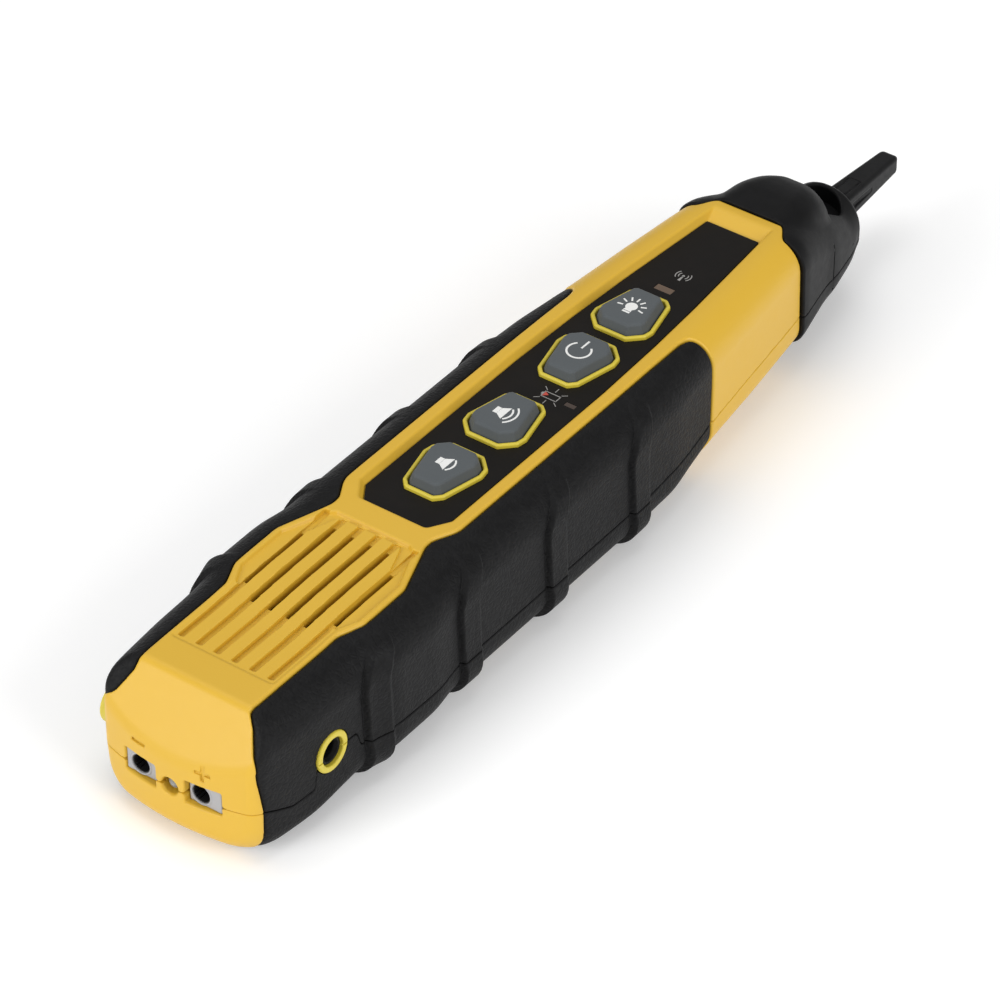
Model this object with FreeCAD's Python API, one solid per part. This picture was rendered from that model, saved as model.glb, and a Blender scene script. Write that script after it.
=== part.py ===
import FreeCAD, Part
import math, os

# Cable and tone tracing probe: hand-held, lying on its back with the keys up.
# X is the width, +Y points to the probe tip, +Z is up.
# The geometry is laid out from the crease behind the speaker grille (y = 0) at the
# level of the label (z = 0), and moved to the bottom centre of the box at export.

V = FreeCAD.Vector

# ---------------------------------------------------------------- dimensions, mm
Y_REAR = -8.8            # rear end face
Y_TIP = 232.2            # end of the conductive tip
RIB = 1.3                # height of the grip ribs
H_BODY = 30.5            # underside of the grip below the label plane
WALL = 2.9               # housing wall
GRIP_T = 1.5             # thickness of the overmoulded grip
Z_PART = -20.5           # level of the parting line
PART_GAP = 0.0
LABEL_T = 0.5            # label panel
JACK_Y, JACK_Z = 14.1, -16.3
JACK_BORE_R = 1.8        # 3.5 mm plug
RING_R, RING_RI = 4.35, 2.95
SOCK_X, SOCK_Z = 7.3, -18.65
BORE_X = {-1: -7.7, 1: 6.3}
SOCK_R = 2.05            # 4 mm test lead
BTN_TRAVEL = 0.8
BAT_L, BAT_W, BAT_H = 48.5, 26.3, 17.3
BAT_Y0 = 66.0
TIP_Z = -16.0
ORIGIN = V(0, -(Y_REAR + Y_TIP) / 2.0, H_BODY + RIB)

# body stations: y, half width, top level, depth below z=0, top and bottom corner radius
BODY = [
    (-8.8, 12.6, -12.2, 26.0, 4.0, 4.0),
    (-8.0, 15.2, -10.2, 28.2, 5.0, 5.4),
    (-6.0, 16.9, -8.2, 29.5, 6.0, 6.6),
    (-3.5, 17.9, -4.8, 30.1, 7.0, 7.2),
    (0.0, 18.9, 0.0, 30.4, 7.4, 7.3),
    (12.0, 20.0, 0.0, 30.5, 7.6, 7.3),
    (24.0, 20.5, 0.1, 30.5, 7.6, 7.3),
    (31.0, 22.0, 0.6, 30.5, 7.8, 7.3),
    (43.0, 22.0, 0.6, 30.5, 7.8, 7.3),
    (54.0, 20.9, 0.9, 30.5, 8.0, 7.3),
    (62.0, 21.0, 1.35, 30.5, 8.0, 7.3),
    (110.0, 21.0, 1.35, 30.5, 8.0, 7.3),
    (124.0, 20.5, 1.35, 30.5, 8.0, 7.3),
    (132.0, 19.4, 1.35, 28.8, 7.6, 7.3),
    (140.0, 18.4, 1.35, 27.6, 7.4, 7.2),
    (156.0, 16.9, 1.35, 26.7, 7.0, 7.0),
    (172.0, 15.2, 1.35, 25.8, 6.6, 6.6),
    (179.0, 14.3, 1.1, 25.3, 6.5, 6.5),
]
NOSE = [
    (174.0, 15.3, 0.6, 25.9, 6.6, 6.6),
    (180.0, 14.4, -0.2, 25.4, 6.5, 6.5),
    (188.0, 12.8, -2.2, 24.8, 7.0, 6.0),
    (196.0, 11.5, -5.1, 24.4, 8.4, 6.0),
    (202.5, 9.75, -8.2, 24.1, 8.9, 5.8),
    (206.5, 8.6, -8.4, 23.7, 8.2, 5.6),
    (208.4, 7.9, -9.2, 22.8, 7.4, 5.0),
]
SEG = 3


def lerp_station(tab, y):
    if y <= tab[0][0]:
        return (y,) + tuple(tab[0][1:])
    for p, q in zip(tab, tab[1:]):
        if p[0] <= y <= q[0]:
            t = (y - p[0]) / (q[0] - p[0])
            return (y,) + tuple(u + t * (v - u) for u, v in zip(p[1:], q[1:]))
    return (y,) + tuple(tab[-1][1:])


def ring(st, off=0.0):
    """closed outline of the body at one station, moved inwards by off"""
    y, w, zt, h, rt, rb = st
    w, zt, h = w - off, zt - off, h - off
    rt, rb = max(rt - off, 1.0), max(rb - off, 1.0)
    pts = []
    for cx, cz, r, a0 in ((w - rt, zt - rt, rt, 0.0), (-(w - rt), zt - rt, rt, 90.0),
                          (-(w - rb), -h + rb, rb, 180.0), (w - rb, -h + rb, rb, 270.0)):
        for k in range(SEG + 1):
            a = math.radians(a0 + 90.0 * k / SEG)
            pts.append(V(cx + r * math.cos(a), y, cz + r * math.sin(a)))
    return pts


def loft(rings):
    wires = [Part.makePolygon(r + [r[0]]) for r in rings]
    s = Part.makeLoft(wires, True, True)
    return s


def body_loft(tab, off=0.0, y0=None, y1=None):
    ys = [s[0] for s in tab]
    if y0 is not None:
        ys = [y0] + [y for y in ys if y > y0 + 0.05]
    if y1 is not None:
        ys = [y for y in ys if y < y1 - 0.05] + [y1]
    return loft([ring(lerp_station(tab, y), off) for y in ys])


def box(x0, y0, z0, x1, y1, z1):
    return Part.makeBox(x1 - x0, y1 - y0, z1 - z0, V(x0, y0, z0))


def cyl(r, h, base, d=(0, 0, 1)):
    return Part.makeCylinder(r, h, V(*base), V(*d))


def prism(pts, z0, z1):
    """closed polygon (x, y) raised from z0 to z1"""
    w = Part.makePolygon([V(x, y, z0) for x, y in pts] + [V(pts[0][0], pts[0][1], z0)])
    return Part.Face(w).extrude(V(0, 0, z1 - z0))


def prism_x(pts, x0, x1):
    """closed polygon (y, z) raised from x0 to x1"""
    w = Part.makePolygon([V(x0, y, z) for y, z in pts] + [V(x0, pts[0][0], pts[0][1])])
    return Part.Face(w).extrude(V(x1 - x0, 0, 0))


def fuse(shapes):
    s = shapes[0]
    if len(shapes) > 1:
        s = s.multiFuse(shapes[1:])
    return s.removeSplitter() if s.ShapeType != "Compound" or len(s.Solids) == 1 else s


def cut(a, tools):
    for t in tools:
        a = a.cut(t)
    return a


def one(s):
    """largest solid of a result"""
    sol = sorted(s.Solids, key=lambda k: -k.Volume)
    return sol[0]


PARTS = {}


def put(name, shape):
    PARTS[name] = shape


# ---------------------------------------------------------------- key outlines
def inset(pts, d):
    """convex outline (x, y), given anticlockwise, moved inwards by d"""
    n = len(pts)
    out = []
    for i in range(n):
        (x0, y0), (x1, y1), (x2, y2) = pts[i - 1], pts[i], pts[(i + 1) % n]
        l1, l2 = math.hypot(x1 - x0, y1 - y0), math.hypot(x2 - x1, y2 - y1)
        n1 = (-(y1 - y0) / l1, (x1 - x0) / l1)
        n2 = (-(y2 - y1) / l2, (x2 - x1) / l2)
        k = 1.0 + n1[0] * n2[0] + n1[1] * n2[1]
        out.append((x1 + d * (n1[0] + n2[0]) / k, y1 + d * (n1[1] + n2[1]) / k))
    return out


def both(half):
    """half outline (y, half width), rear to front, made into an anticlockwise (x, y) outline"""
    return [(w, y) for y, w in half] + [(-w, y) for y, w in reversed(half)]


# outer outline of the raised yellow rim round each key, as (y, half width)
KEYS = {
    "volume_down_button": [(66.7, 3.3), (68.4, 4.9), (77.6, 7.0), (80.0, 6.6), (82.8, 3.7)],
    "volume_up_button": [(86.7, 3.7), (89.6, 6.6), (91.8, 7.0), (101.0, 4.9), (102.4, 3.3)],
    "power_button": [(110.0, 3.3), (111.7, 4.9), (120.9, 7.0), (123.2, 6.6), (126.0, 3.7)],
    "light_button": [(128.9, 3.7), (131.8, 6.6), (133.9, 7.0), (142.9, 4.9), (144.3, 3.3)],
}
RIM_W, KEY_GAP = 0.85, 0.35
LABEL = [(59.5, 7.4), (63.3, 9.85), (112.0, 9.85), (130.0, 9.3), (145.0, 8.45), (172.0, 6.3)]


# ---------------------------------------------------------------- envelopes
outer = body_loft(BODY)
inner = body_loft(BODY, WALL, y0=-6.4, y1=176.0)
core = body_loft(BODY, GRIP_T, y0=-8.0, y1=176.0)

# grip areas, seen from the side (y, z): the sides from the rear edge of the grip to the
# slanted front edge, and from the rails down and round the bottom corners
grip_side = [(-3.4, 3), (-3.4, -40), (124.5, -40), (138.0, -24.0), (138.2, -8.0),
             (137.8, 3)]
side_zone = prism_x(grip_side, -30, 30)
# the rails: x of the inner edge of the grip along y
rail = [(-9, 17.0), (-3.4, 15.4), (0.0, 13.2), (2.0, 12.8), (25.5, 13.0), (31.0, 15.2), (43.2, 15.2),
        (50.0, 12.6), (54.5, 11.0), (56.8, 11.0), (60.5, 13.0), (63.0, 13.5), (112, 13.6), (126, 13.5),
        (133.5, 13.4), (136.5, 14.0), (138.6, 16.4), (142, 17.0)]
top_keep = prism([(x, y) for y, x in rail] + [(-x, y) for y, x in reversed(rail)], Z_PART, 8)
bottom_keep = box(-14.2, 58.0, -40, 14.2, 128.5, Z_PART)
ring_shell = outer.cut(core)
grip_all = ring_shell.common(side_zone).cut(top_keep).cut(bottom_keep)

# ribs: four bands across the sides and the underside
def rib_band(y0, y1):
    st = [y0, y0 + 1.2, y1 - 1.2, y1]
    grow = [-0.1, -RIB - 0.03, -RIB - 0.03, -0.1]
    big = loft([ring(lerp_station(BODY, y), g) for y, g in zip(st, grow)])
    big = big.cut(box(-40, -20, -50, 40, 260, -(H_BODY + RIB)))
    zone = box(-30, y0 - 1, -40, 30, y1 + 1, -7.0)
    b = big.common(zone)
    return b


RIBS = [(22.8, 30.0), (51.0, 58.2), (78.9, 86.1), (106.3, 113.5)]
rib_solids = []
for a, b in RIBS:
    rib_solids.append(rib_band(a, b).cut(core))
grip_full = grip_all
for r in rib_solids:
    grip_full = grip_full.fuse(r.cut(bottom_keep))

upper_half = box(-40, -20, Z_PART, 40, 260, 20)
lower_half = box(-40, -20, -60, 40, 260, Z_PART)

# jack ring and strap ring seats through the right and left grips
jack_seat = cyl(RING_R + 0.05, 12, (16.0, JACK_Y, JACK_Z), (1, 0, 0))
lug_y, lug_z = 1.85, -18.2
lug_seat = cyl(RING_R + 0.05, 12, (-16.0, lug_y + 1.6, lug_z), (-1, 0, 0))

def side_pick(s, sign):
    b = box(0, -20, -60, 40, 260, 20) if sign > 0 else box(-40, -20, -60, 0, 260, 20)
    return s.common(b)


put("grip_right_upper", one(side_pick(grip_full, 1).common(upper_half).cut(jack_seat)))
put("grip_left_upper", one(side_pick(grip_full, -1).common(upper_half).cut(lug_seat)))
put("grip_lower", one(grip_full.common(lower_half).cut(jack_seat).cut(lug_seat)))


# ---------------------------------------------------------------- housings
FRONT = [(-30, 174.6), (-11.1, 174.6), (-8.2, 178.8), (8.2, 178.8), (11.1, 174.6), (30, 174.6),
         (30, 250), (-30, 250)]
front_zone = prism(list(reversed(FRONT)), -4.0, 12).fuse(box(-30, 174.6, -40, 30, 250, -4.0))

shell = outer.cut(grip_all).cut(inner).cut(front_zone)

# label recess, key openings, windows
label_cut = prism(both(LABEL), -LABEL_T, 6)
tools_top = [label_cut]
for k, half in KEYS.items():
    tools_top.append(prism(inset(both(half), -0.05), -4, 3))
WIN_SIG = (146.85, -2.05, 148.7, 2.05)
WIN_BAT = (105.35, 5.8, 106.6, 8.3)
sig_hole = box(WIN_SIG[1], WIN_SIG[0], -4, WIN_SIG[3], WIN_SIG[2], 3)
bat_hole = box(WIN_BAT[1], WIN_BAT[0], -4, WIN_BAT[3], WIN_BAT[2], 3)
tools_top += [sig_hole, bat_hole]
# speaker grille: four long slots, two shorter outer ones, and the shallow grooves behind them
for i, gx in enumerate((-10.3, -6.2, -2.07, 2.07, 6.2, 10.3)):
    y0, y1 = (24.6, 49.8) if abs(gx) < 9 else (28.0, 45.5)
    tools_top.append(box(gx - 0.7, y0, -6, gx + 0.7, y1, 4))
    tools_top.append(box(gx - 0.75, 8.6, -0.55, gx + 0.75, y0, 4))
# test lead windows and the polarity lamp in the rear end
sock_windows = []
for sx in (-1, 1):
    sock_windows.append(box(sx * SOCK_X - 3.8, -12, SOCK_Z - 2.6, sx * SOCK_X + 3.8, 6, SOCK_Z + 2.6))
lamp_hole = cyl(1.85, 12, (0, -12, -19.1), (0, 1, 0))
tools_rear = sock_windows + [lamp_hole]
jack_hole = cyl(RING_R + 0.05, 12, (13.0, JACK_Y, JACK_Z), (1, 0, 0))
# the barrel drops into the upper half through a notch that runs down to the parting line
jack_hole = jack_hole.fuse(box(13.0, JACK_Y - RING_R - 0.05, Z_PART, 25.0, JACK_Y + RING_R + 0.05, JACK_Z))
lug_hole = cyl(RING_R + 0.05, 12, (-13.5, lug_y + 1.6, lug_z), (-1, 0, 0))

# battery door opening in the underside, and the bay walls behind it
DOOR = (-14.0, BAT_Y0 - 4.0, 14.0, BAT_Y0 + BAT_L + 9.5)
door_cut = box(DOOR[0], DOOR[1], -34, DOOR[2], DOOR[3], -26.5)
screw_y = DOOR[3] - 3.2

# screw posts between the halves
POSTS = [(0.0, 7.4), (-14.6, 56.5), (14.6, 56.5), (-11.0, 161.0), (11.0, 161.0)]
up_posts, lo_posts, scr = [], [], []
for x, y in POSTS:
    h = H_BODY if y < 130 else 26.4
    up_posts.append(cyl(2.6, -2.0 - Z_PART, (x, y, Z_PART)).cut(cyl(1.05, 10, (x, y, Z_PART - 0.1))))
    lo_posts.append(cyl(2.6, h - 0.8 + Z_PART, (x, y, -h + 0.8)))
    scr.append((x, y, h))

upper = shell.common(upper_half)
for t in tools_top:
    upper = upper.cut(t)
for p in up_posts:
    upper = upper.fuse(p.common(inner))
for t in tools_rear + [jack_hole, lug_hole]:
    upper = upper.cut(t)
put("upper_housing", one(upper))

lower = shell.common(lower_half)
for p in lo_posts:
    lower = lower.fuse(p.common(inner))
# bay side walls and end walls
bay_out = box(-15.2, BAT_Y0 - 3.2, -27.6, 15.2, BAT_Y0 + BAT_L + 3.7, Z_PART)
bay_in = box(-13.9, BAT_Y0 - 1.9, -40, 13.9, BAT_Y0 + BAT_L + 2.4, 0)
bay = bay_out.cut(bay_in).common(body_loft(BODY, GRIP_T + 0.1, y0=-6.4, y1=176.0))
lower = lower.fuse(bay)
boss = cyl(2.8, 6, (0, screw_y, -26.4)).cut(cyl(1.05, 5, (0, screw_y, -26.5)))
web = box(-14.5, screw_y - 0.8, -26.4, 14.5, screw_y + 0.8, -22.4).cut(cyl(2.0, 5, (0, screw_y, -26.5)))
lower = lower.cut(box(-14.0, DOOR[1], -34, 14.0, DOOR[3], -26.45))
lower = lower.fuse(boss).fuse(web)
for x, y, h in scr:
    lower = lower.cut(cyl(2.3, 4.8, (x, y, -h - 0.1))).cut(cyl(1.35, 30, (x, y, -h)))
for t in tools_rear + [jack_hole, lug_hole]:
    lower = lower.cut(t)
put("lower_housing", one(lower))

# housing screws: pan heads in the counterbores, threads up into the posts
hs = []
for x, y, h in scr:
    hs.append(cyl(2.1, 1.6, (x, y, -h + 3.05)).fuse(cyl(1.0, (Z_PART + 6.5) - (-h + 4.6), (x, y, -h + 4.6))).cut(
        box(x - 1.3, y - 0.3, -h + 3.0, x + 1.3, y + 0.3, -h + 3.9)).cut(
        box(x - 0.3, y - 1.3, -h + 3.0, x + 0.3, y + 1.3, -h + 3.9)))
put("housing_screws", Part.makeCompound([one(k) for k in hs]))

# the grips leave the screws clear
for n in ("grip_lower",):
    g = PARTS[n]
    for x, y, h in scr:
        g = g.cut(cyl(2.4, 6, (x, y, -h - 1.5)))
    PARTS[n] = one(g)

# ---------------------------------------------------------------- battery door
door = body_loft(BODY, 0.0, y0=DOOR[1] + 0.15, y1=DOOR[3] - 0.15).common(
    box(DOOR[0] + 0.15, DOOR[1], -34, DOOR[2] - 0.15, DOOR[3], -28.9 + 0.3))
door = door.fuse(box(-9, BAT_Y0 + 2, -28.7, 9, BAT_Y0 + 44, -27.9))
for k in range(5):
    door = door.cut(box(-8, DOOR[1] + 6 + 2.4 * k, -31, 8, DOOR[1] + 7.2 + 2.4 * k, -30.05))
door = door.cut(cyl(1.25, 8, (0, screw_y, -33))).cut(cyl(2.4, 0.95, (0, screw_y, -30.6)))
put("battery_door", one(door))
ds = cyl(2.2, 0.75, (0, screw_y, -30.4)).fuse(cyl(1.0, 6.5, (0, screw_y, -29.7)))
ds = ds.cut(box(-1.5, screw_y - 0.3, -30.5, 1.5, screw_y + 0.3, -29.95))
put("battery_door_screw", one(ds))

# battery, clip, foam and leads
bx = BAT_W / 2
BZ = -27.6
bat = box(-bx, BAT_Y0, BZ, bx, BAT_Y0 + BAT_L - 2.8, BZ + BAT_H)
bat = bat.makeFillet(1.6, [e for e in bat.Edges if abs(e.Vertexes[0].Point.y - e.Vertexes[-1].Point.y) > 20])
top_y = BAT_Y0 + BAT_L - 2.8
bat = bat.fuse(cyl(2.9, 2.7, (-6.35, top_y, BZ + BAT_H / 2), (0, 1, 0))).fuse(
    cyl(4.1, 2.7, (6.35, top_y, BZ + BAT_H / 2), (0, 1, 0)))
put("battery_9v", one(bat))
SNAP_Y = top_y + 2.75
snap = box(-12.2, SNAP_Y, BZ + 2.6, 12.2, SNAP_Y + 1.7, BZ + BAT_H - 2.6)
put("battery_snap", snap)
LEAD_Z = BZ + BAT_H - 4.2
def lead(x, zt):
    a = cyl(0.7, 5.0, (x, SNAP_Y + 1.75, LEAD_Z), (0, 1, 0))
    b = cyl(0.7, zt - LEAD_Z, (x, SNAP_Y + 6.75, LEAD_Z))
    return one(a.fuse(b).fuse(Part.makeSphere(0.7, V(x, SNAP_Y + 6.75, LEAD_Z))))
put("battery_lead_red", lead(4.5, -7.25))
put("battery_lead_black", lead(-4.5, -7.25))
put("battery_foam", box(-10, BAT_Y0 + 4, BZ + BAT_H + 0.05, 10, BAT_Y0 + 38, BZ + BAT_H + 1.35))

# ---------------------------------------------------------------- label, rims and keys
label = prism(inset(both(LABEL), 0.08), -LABEL_T + 0.02, 0.0)
for k, half in KEYS.items():
    label = label.cut(prism(inset(both(half), -0.05), -2, 2))
label = label.cut(box(WIN_SIG[1] - .02, WIN_SIG[0] - .02, -2, WIN_SIG[3] + .02, WIN_SIG[2] + .02, 2))
label = label.cut(box(WIN_BAT[1] - .02, WIN_BAT[0] - .02, -2, WIN_BAT[3] + .02, WIN_BAT[2] + .02, 2))
put("label_panel", one(label))

PL0, PL1 = -2.75, -1.65          # rim plate, just under the housing top wall
rims = box(-9.3, 64.5, PL0, 9.3, 146.3, PL1)
for k, half in KEYS.items():
    rims = rims.fuse(prism(both(half), PL1 - 0.2, 0.75))
for k, half in KEYS.items():
    rims = rims.cut(prism(inset(both(half), RIM_W), -5, 3))
rims = rims.cut(box(WIN_BAT[1] - .3, WIN_BAT[0] - .3, -5, WIN_BAT[3] + .3, WIN_BAT[2] + .3, 2))
put("button_rims", one(rims))

KEY_TOP = 2.65
def key_solid(half):
    base = both(half)
    o1 = inset(base, RIM_W + KEY_GAP)
    o2 = inset(base, RIM_W + KEY_GAP + 0.25)
    o3 = inset(base, RIM_W + KEY_GAP + 0.95)
    def w(pts, z):
        return Part.makePolygon([V(x, y, z) for x, y in pts] + [V(pts[0][0], pts[0][1], z)])
    b = Part.makeLoft([w(o1, -2.7), w(o1, 0.0), w(o2, 1.9), w(o3, KEY_TOP)], True, True)
    fl = prism(inset(base, RIM_W - 0.9), -3.9, -2.85)
    nk = prism(inset(base, RIM_W + KEY_GAP + 0.4), -2.9, -2.6)
    return one(b.fuse(fl).fuse(nk))
for k, half in KEYS.items():
    put(k, key_solid(half))

# keypad mat with four domes, over the tact switches
MAT_T = -5.6
mat = box(-9.0, 65.0, MAT_T - 0.5, 9.0, 146.0, MAT_T)
KC = {k: (h[0][0] + h[-1][0]) / 2 for k, h in KEYS.items()}
PCB_T = -7.3
swl = []
for k, yc in KC.items():
    mat = mat.cut(cyl(3.0, 3, (0, yc, MAT_T - 1)))
    body_ = box(-3, yc - 3, PCB_T, 3, yc + 3, PCB_T + 1.1)
    swl.append(one(body_.fuse(cyl(1.5, 2.5 - 0.1, (0, yc, PCB_T)))))
mat = mat.cut(box(WIN_BAT[1] - .5, WIN_BAT[0] - .5, -10, WIN_BAT[3] + .5, WIN_BAT[2] + .5, 2))
put("keypad_mat", one(mat))
put("tact_switches", Part.makeCompound(swl))

# circuit board with its parts
PCB_B = PCB_T - 1.4
pcb = box(-13.0, 58.5, PCB_B, 13.0, 158.0, PCB_T)
for x, y in ((-9.5, 62.0), (9.5, 62.0), (-9.5, 154.5), (9.5, 154.5)):
    pcb = pcb.cut(cyl(1.2, 4, (x, y, PCB_B - 1)))
for x in (4.5, -4.5):
    pcb = pcb.cut(cyl(0.8, 4, (x, SNAP_Y + 6.75, PCB_B - 1)))
put("main_board", one(pcb))
comp = [box(-4, 130.5, PCB_B - 1.5, 4, 138.5, PCB_B), box(6.5, 126, PCB_B - 1.2, 11.5, 130, PCB_B),
        box(-11, 140, PCB_B - 1.1, -6, 145, PCB_B), box(-11.5, 124, PCB_B - 1.0, -7.5, 128, PCB_B),
        cyl(2.5, 6.5, (9.0, 137.5, PCB_B - 6.5)), cyl(2.0, 5.4, (9.3, 144.5, PCB_B - 5.4))]
put("board_components", Part.makeCompound(comp))
psc = []
for x, y in ((-9.5, 62.0), (9.5, 62.0), (-9.5, 154.5), (9.5, 154.5)):
    psc.append(one(cyl(2.0, 1.2, (x, y, PCB_B - 1.25)).fuse(cyl(0.95, 4.0, (x, y, PCB_B - 0.1)))))
put("board_screws", Part.makeCompound(psc))
sig_led = box(-1.6, 147.0, PCB_T, 1.6, 148.5, PCB_T + 0.9)
put("signal_led", sig_led)
put("battery_low_led", box(6.3, 105.4, PCB_T, 7.8, 106.5, PCB_T + 0.7))
put("signal_window", box(WIN_SIG[1] + .06, WIN_SIG[0] + .06, -5.2, WIN_SIG[3] - .06, WIN_SIG[2] - .06, -0.05))
put("battery_low_window", box(WIN_BAT[1] + .06, WIN_BAT[0] + .06, -5.2, WIN_BAT[3] - .06, WIN_BAT[2] - .06, -0.05))

# ---------------------------------------------------------------- speaker
SPK_Y = 37.0
SPK_R = 13.8
def disc_ring(r0, r1, z0, z1, y=SPK_Y):
    return cyl(r1, z1 - z0, (0, y, z0)).cut(cyl(r0, z1 - z0 + 2, (0, y, z0 - 1)))
put("grille_cloth", cyl(SPK_R, 0.3, (0, SPK_Y, -3.35)))
frame_ = disc_ring(12.2, SPK_R, -5.2, -3.4).fuse(
    Part.makeCone(8.2, 13.0, 3.0, V(0, SPK_Y, -8.2)).cut(Part.makeCone(7.2, 12.1, 3.2, V(0, SPK_Y, -8.3))))
put("speaker_frame", one(frame_))
cone = Part.makeCone(3.2, 11.6, 2.0, V(0, SPK_Y, -5.6)).cut(Part.makeCone(2.6, 11.6, 2.0, V(0, SPK_Y, -5.2)))
cone = cone.fuse(cyl(3.4, 0.5, (0, SPK_Y, -5.6)))
put("speaker_cone", one(cone))
put("speaker_magnet", cyl(7.0, 4.6, (0, SPK_Y, -11.2)))
magyoke = cyl(8.4, 1.2, (0, SPK_Y, -12.5))
put("speaker_yoke", magyoke)

# ---------------------------------------------------------------- earphone jack
WJ = lerp_station(BODY, JACK_Y)[1]
JX1 = WJ + 0.4
ringj = cyl(RING_R, JX1 - 17.0, (17.0, JACK_Y, JACK_Z), (1, 0, 0)).cut(
    cyl(RING_RI + 0.02, 12, (12.0, JACK_Y, JACK_Z), (1, 0, 0)))
ringj = ringj.cut(cyl(RING_RI + 0.02, 12, (12.0, JACK_Y, JACK_Z), (1, 0, 0)))
put("jack_ring", one(ringj))
barrel = cyl(RING_RI - 0.02, JX1 - 0.9 - 12.0, (12.0, JACK_Y, JACK_Z), (1, 0, 0))
jb = barrel.fuse(box(4.6, JACK_Y - 3.6, JACK_Z - 3.0, 12.0, JACK_Y + 3.6, JACK_Z + 3.0))
jb = jb.cut(cyl(JACK_BORE_R, 15.0, (JX1 - 0.9 - 14.4, JACK_Y, JACK_Z), (1, 0, 0)))
jb = jb.cut(Part.makeCone(JACK_BORE_R, 2.25, 0.9, V(JX1 - 1.8, JACK_Y, JACK_Z), V(1, 0, 0)))
put("jack_body", one(jb))
put("jack_contact", box(12.6, JACK_Y - 0.9, JACK_Z - 5.2, 16.0, JACK_Y + 0.9, JACK_Z - 3.6 + 0.2).fuse(
    box(4.8, JACK_Y - 0.9, JACK_Z - 5.2, 12.6, JACK_Y + 0.9, JACK_Z - 4.8)))

# yellow eyelet on the left side, near the rear, for a wrist strap
LUG_X = 22.2
ey = lug_y + 1.6
lug = cyl(RING_R, LUG_X - 15.6, (-15.6, ey, lug_z), (-1, 0, 0)).cut(
    cyl(2.2, 5.0, (-19.0, ey, lug_z), (-1, 0, 0)))
lug = lug.fuse(box(-LUG_X + 0.6, ey - 0.9, lug_z - 2.6, -LUG_X + 2.0, ey + 0.9, lug_z + 2.6))
put("strap_eyelet", one(lug))

# ---------------------------------------------------------------- test lead sockets
for nm, sx in (("negative_socket", -1), ("positive_socket", 1)):
    b = box(sx * SOCK_X - 3.7, -6.9, SOCK_Z - 2.5, sx * SOCK_X + 3.7, 5.9, SOCK_Z + 2.5)
    b = b.cut(cyl(SOCK_R, 12.0, (BORE_X[sx], -7.5, SOCK_Z), (0, 1, 0)))
    put(nm, b)
ct = []
for sx in (-1, 1):
    ct.append(cyl(1.4, 3.0, (BORE_X[sx], 6.0, SOCK_Z), (0, 1, 0)))
put("socket_terminals", Part.makeCompound(ct))
pl = cyl(1.5, 7.2, (0, -6.1, -19.1), (0, 1, 0)).fuse(Part.makeSphere(1.5, V(0, -6.1, -19.1)))
put("polarity_led", one(pl))
put("socket_board", cut(box(-12.5, 1.4, -23.4, 12.5, 2.8, -9.0), [
    box(-11.2, 0, SOCK_Z - 2.8, -3.4, 4, SOCK_Z + 2.8), box(3.4, 0, SOCK_Z - 2.8, 11.2, 4, SOCK_Z + 2.8)]))

# ---------------------------------------------------------------- nose, lamp and tip
nose_o = body_loft(NOSE)
HOOD = [(179.0, 9.3, 1.0, 13.0, 5.5, 1.0), (187.0, 8.7, 1.0, 13.0, 6.2, 1.0), (191.0, 8.0, 0.3, 13.0, 6.6, 1.0),
        (195.4, 6.9, -1.4, 13.0, 6.6, 1.0)]
hood = body_loft(HOOD)
nose = nose_o.fuse(hood).common(front_zone)
inner_n = body_loft([(y, w, min(zt, -1.0) if y < 182 else zt, h, rt, rb) for y, w, zt, h, rt, rb in NOSE[:5]],
                    2.2, y0=173.0, y1=188.5)
nose = nose.cut(inner_n)
LAMP_Z, LAMP_R = -8.3, 3.95
lamp_bore = cyl(LAMP_R, 10.0, (0, 187.0, LAMP_Z), (0, 1, 0))
# open pocket in front of the hood, round at its front end
notch = box(-6.6, 195.4, -12.6, 6.6, 199.8, 5).fuse(cyl(6.6, 17.6, (0, 199.8, -12.6)))
nose = nose.cut(lamp_bore).cut(notch)
# the tip sits in a stepped bore on the nose axis
nose = nose.cut(cyl(2.75, 30, (0, 186.0, TIP_Z), (0, 1, 0))).cut(cyl(4.3, 8.0, (0, 187.0, TIP_Z - 0.0), (0, 1, 0)).cut(
    cyl(LAMP_R + 0.8, 20, (0, 186.0, LAMP_Z), (0, 1, 0))))
# side seats that lock the nose to the yellow housings
put("nose_upper", one(nose.common(upper_half)))
put("nose_lower", one(nose.common(lower_half)))
# tip
def oct_ring(y, hw, hh, c):
    return [V(hw, y, TIP_Z + hh - c), V(hw - c, y, TIP_Z + hh), V(-hw + c, y, TIP_Z + hh), V(-hw, y, TIP_Z + hh - c),
            V(-hw, y, TIP_Z - hh + c), V(-hw + c, y, TIP_Z - hh), V(hw - c, y, TIP_Z - hh), V(hw, y, TIP_Z - hh + c)]
tip = loft([oct_ring(208.45, 3.1, 3.0, 1.0), oct_ring(229.8, 2.05, 1.95, 0.8), oct_ring(231.4, 1.75, 1.7, 0.7),
            oct_ring(232.2, 1.2, 1.1, 0.5)])
for sx in (-1, 1):
    tip = tip.cut(prism([(sx * 6, 209.0), (sx * 6, 222.0), (sx * 2.15, 221.0), (sx * 2.6, 209.6)] if sx > 0 else
                        [(sx * 2.6, 209.6), (sx * 2.15, 221.0), (sx * 6, 222.0), (sx * 6, 209.0)], TIP_Z - 0.9, TIP_Z + 0.9))
tip = tip.fuse(cyl(2.6, 208.5 - 193.4, (0, 193.4, TIP_Z), (0, 1, 0)))
put("probe_tip", one(tip))
put("tip_insert", cyl(2.5, 3.2, (0, 190.1, TIP_Z), (0, 1, 0)))
sp = cyl(1.4, 4.4, (0, 185.6, TIP_Z), (0, 1, 0))
put("tip_contact", sp)
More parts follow.
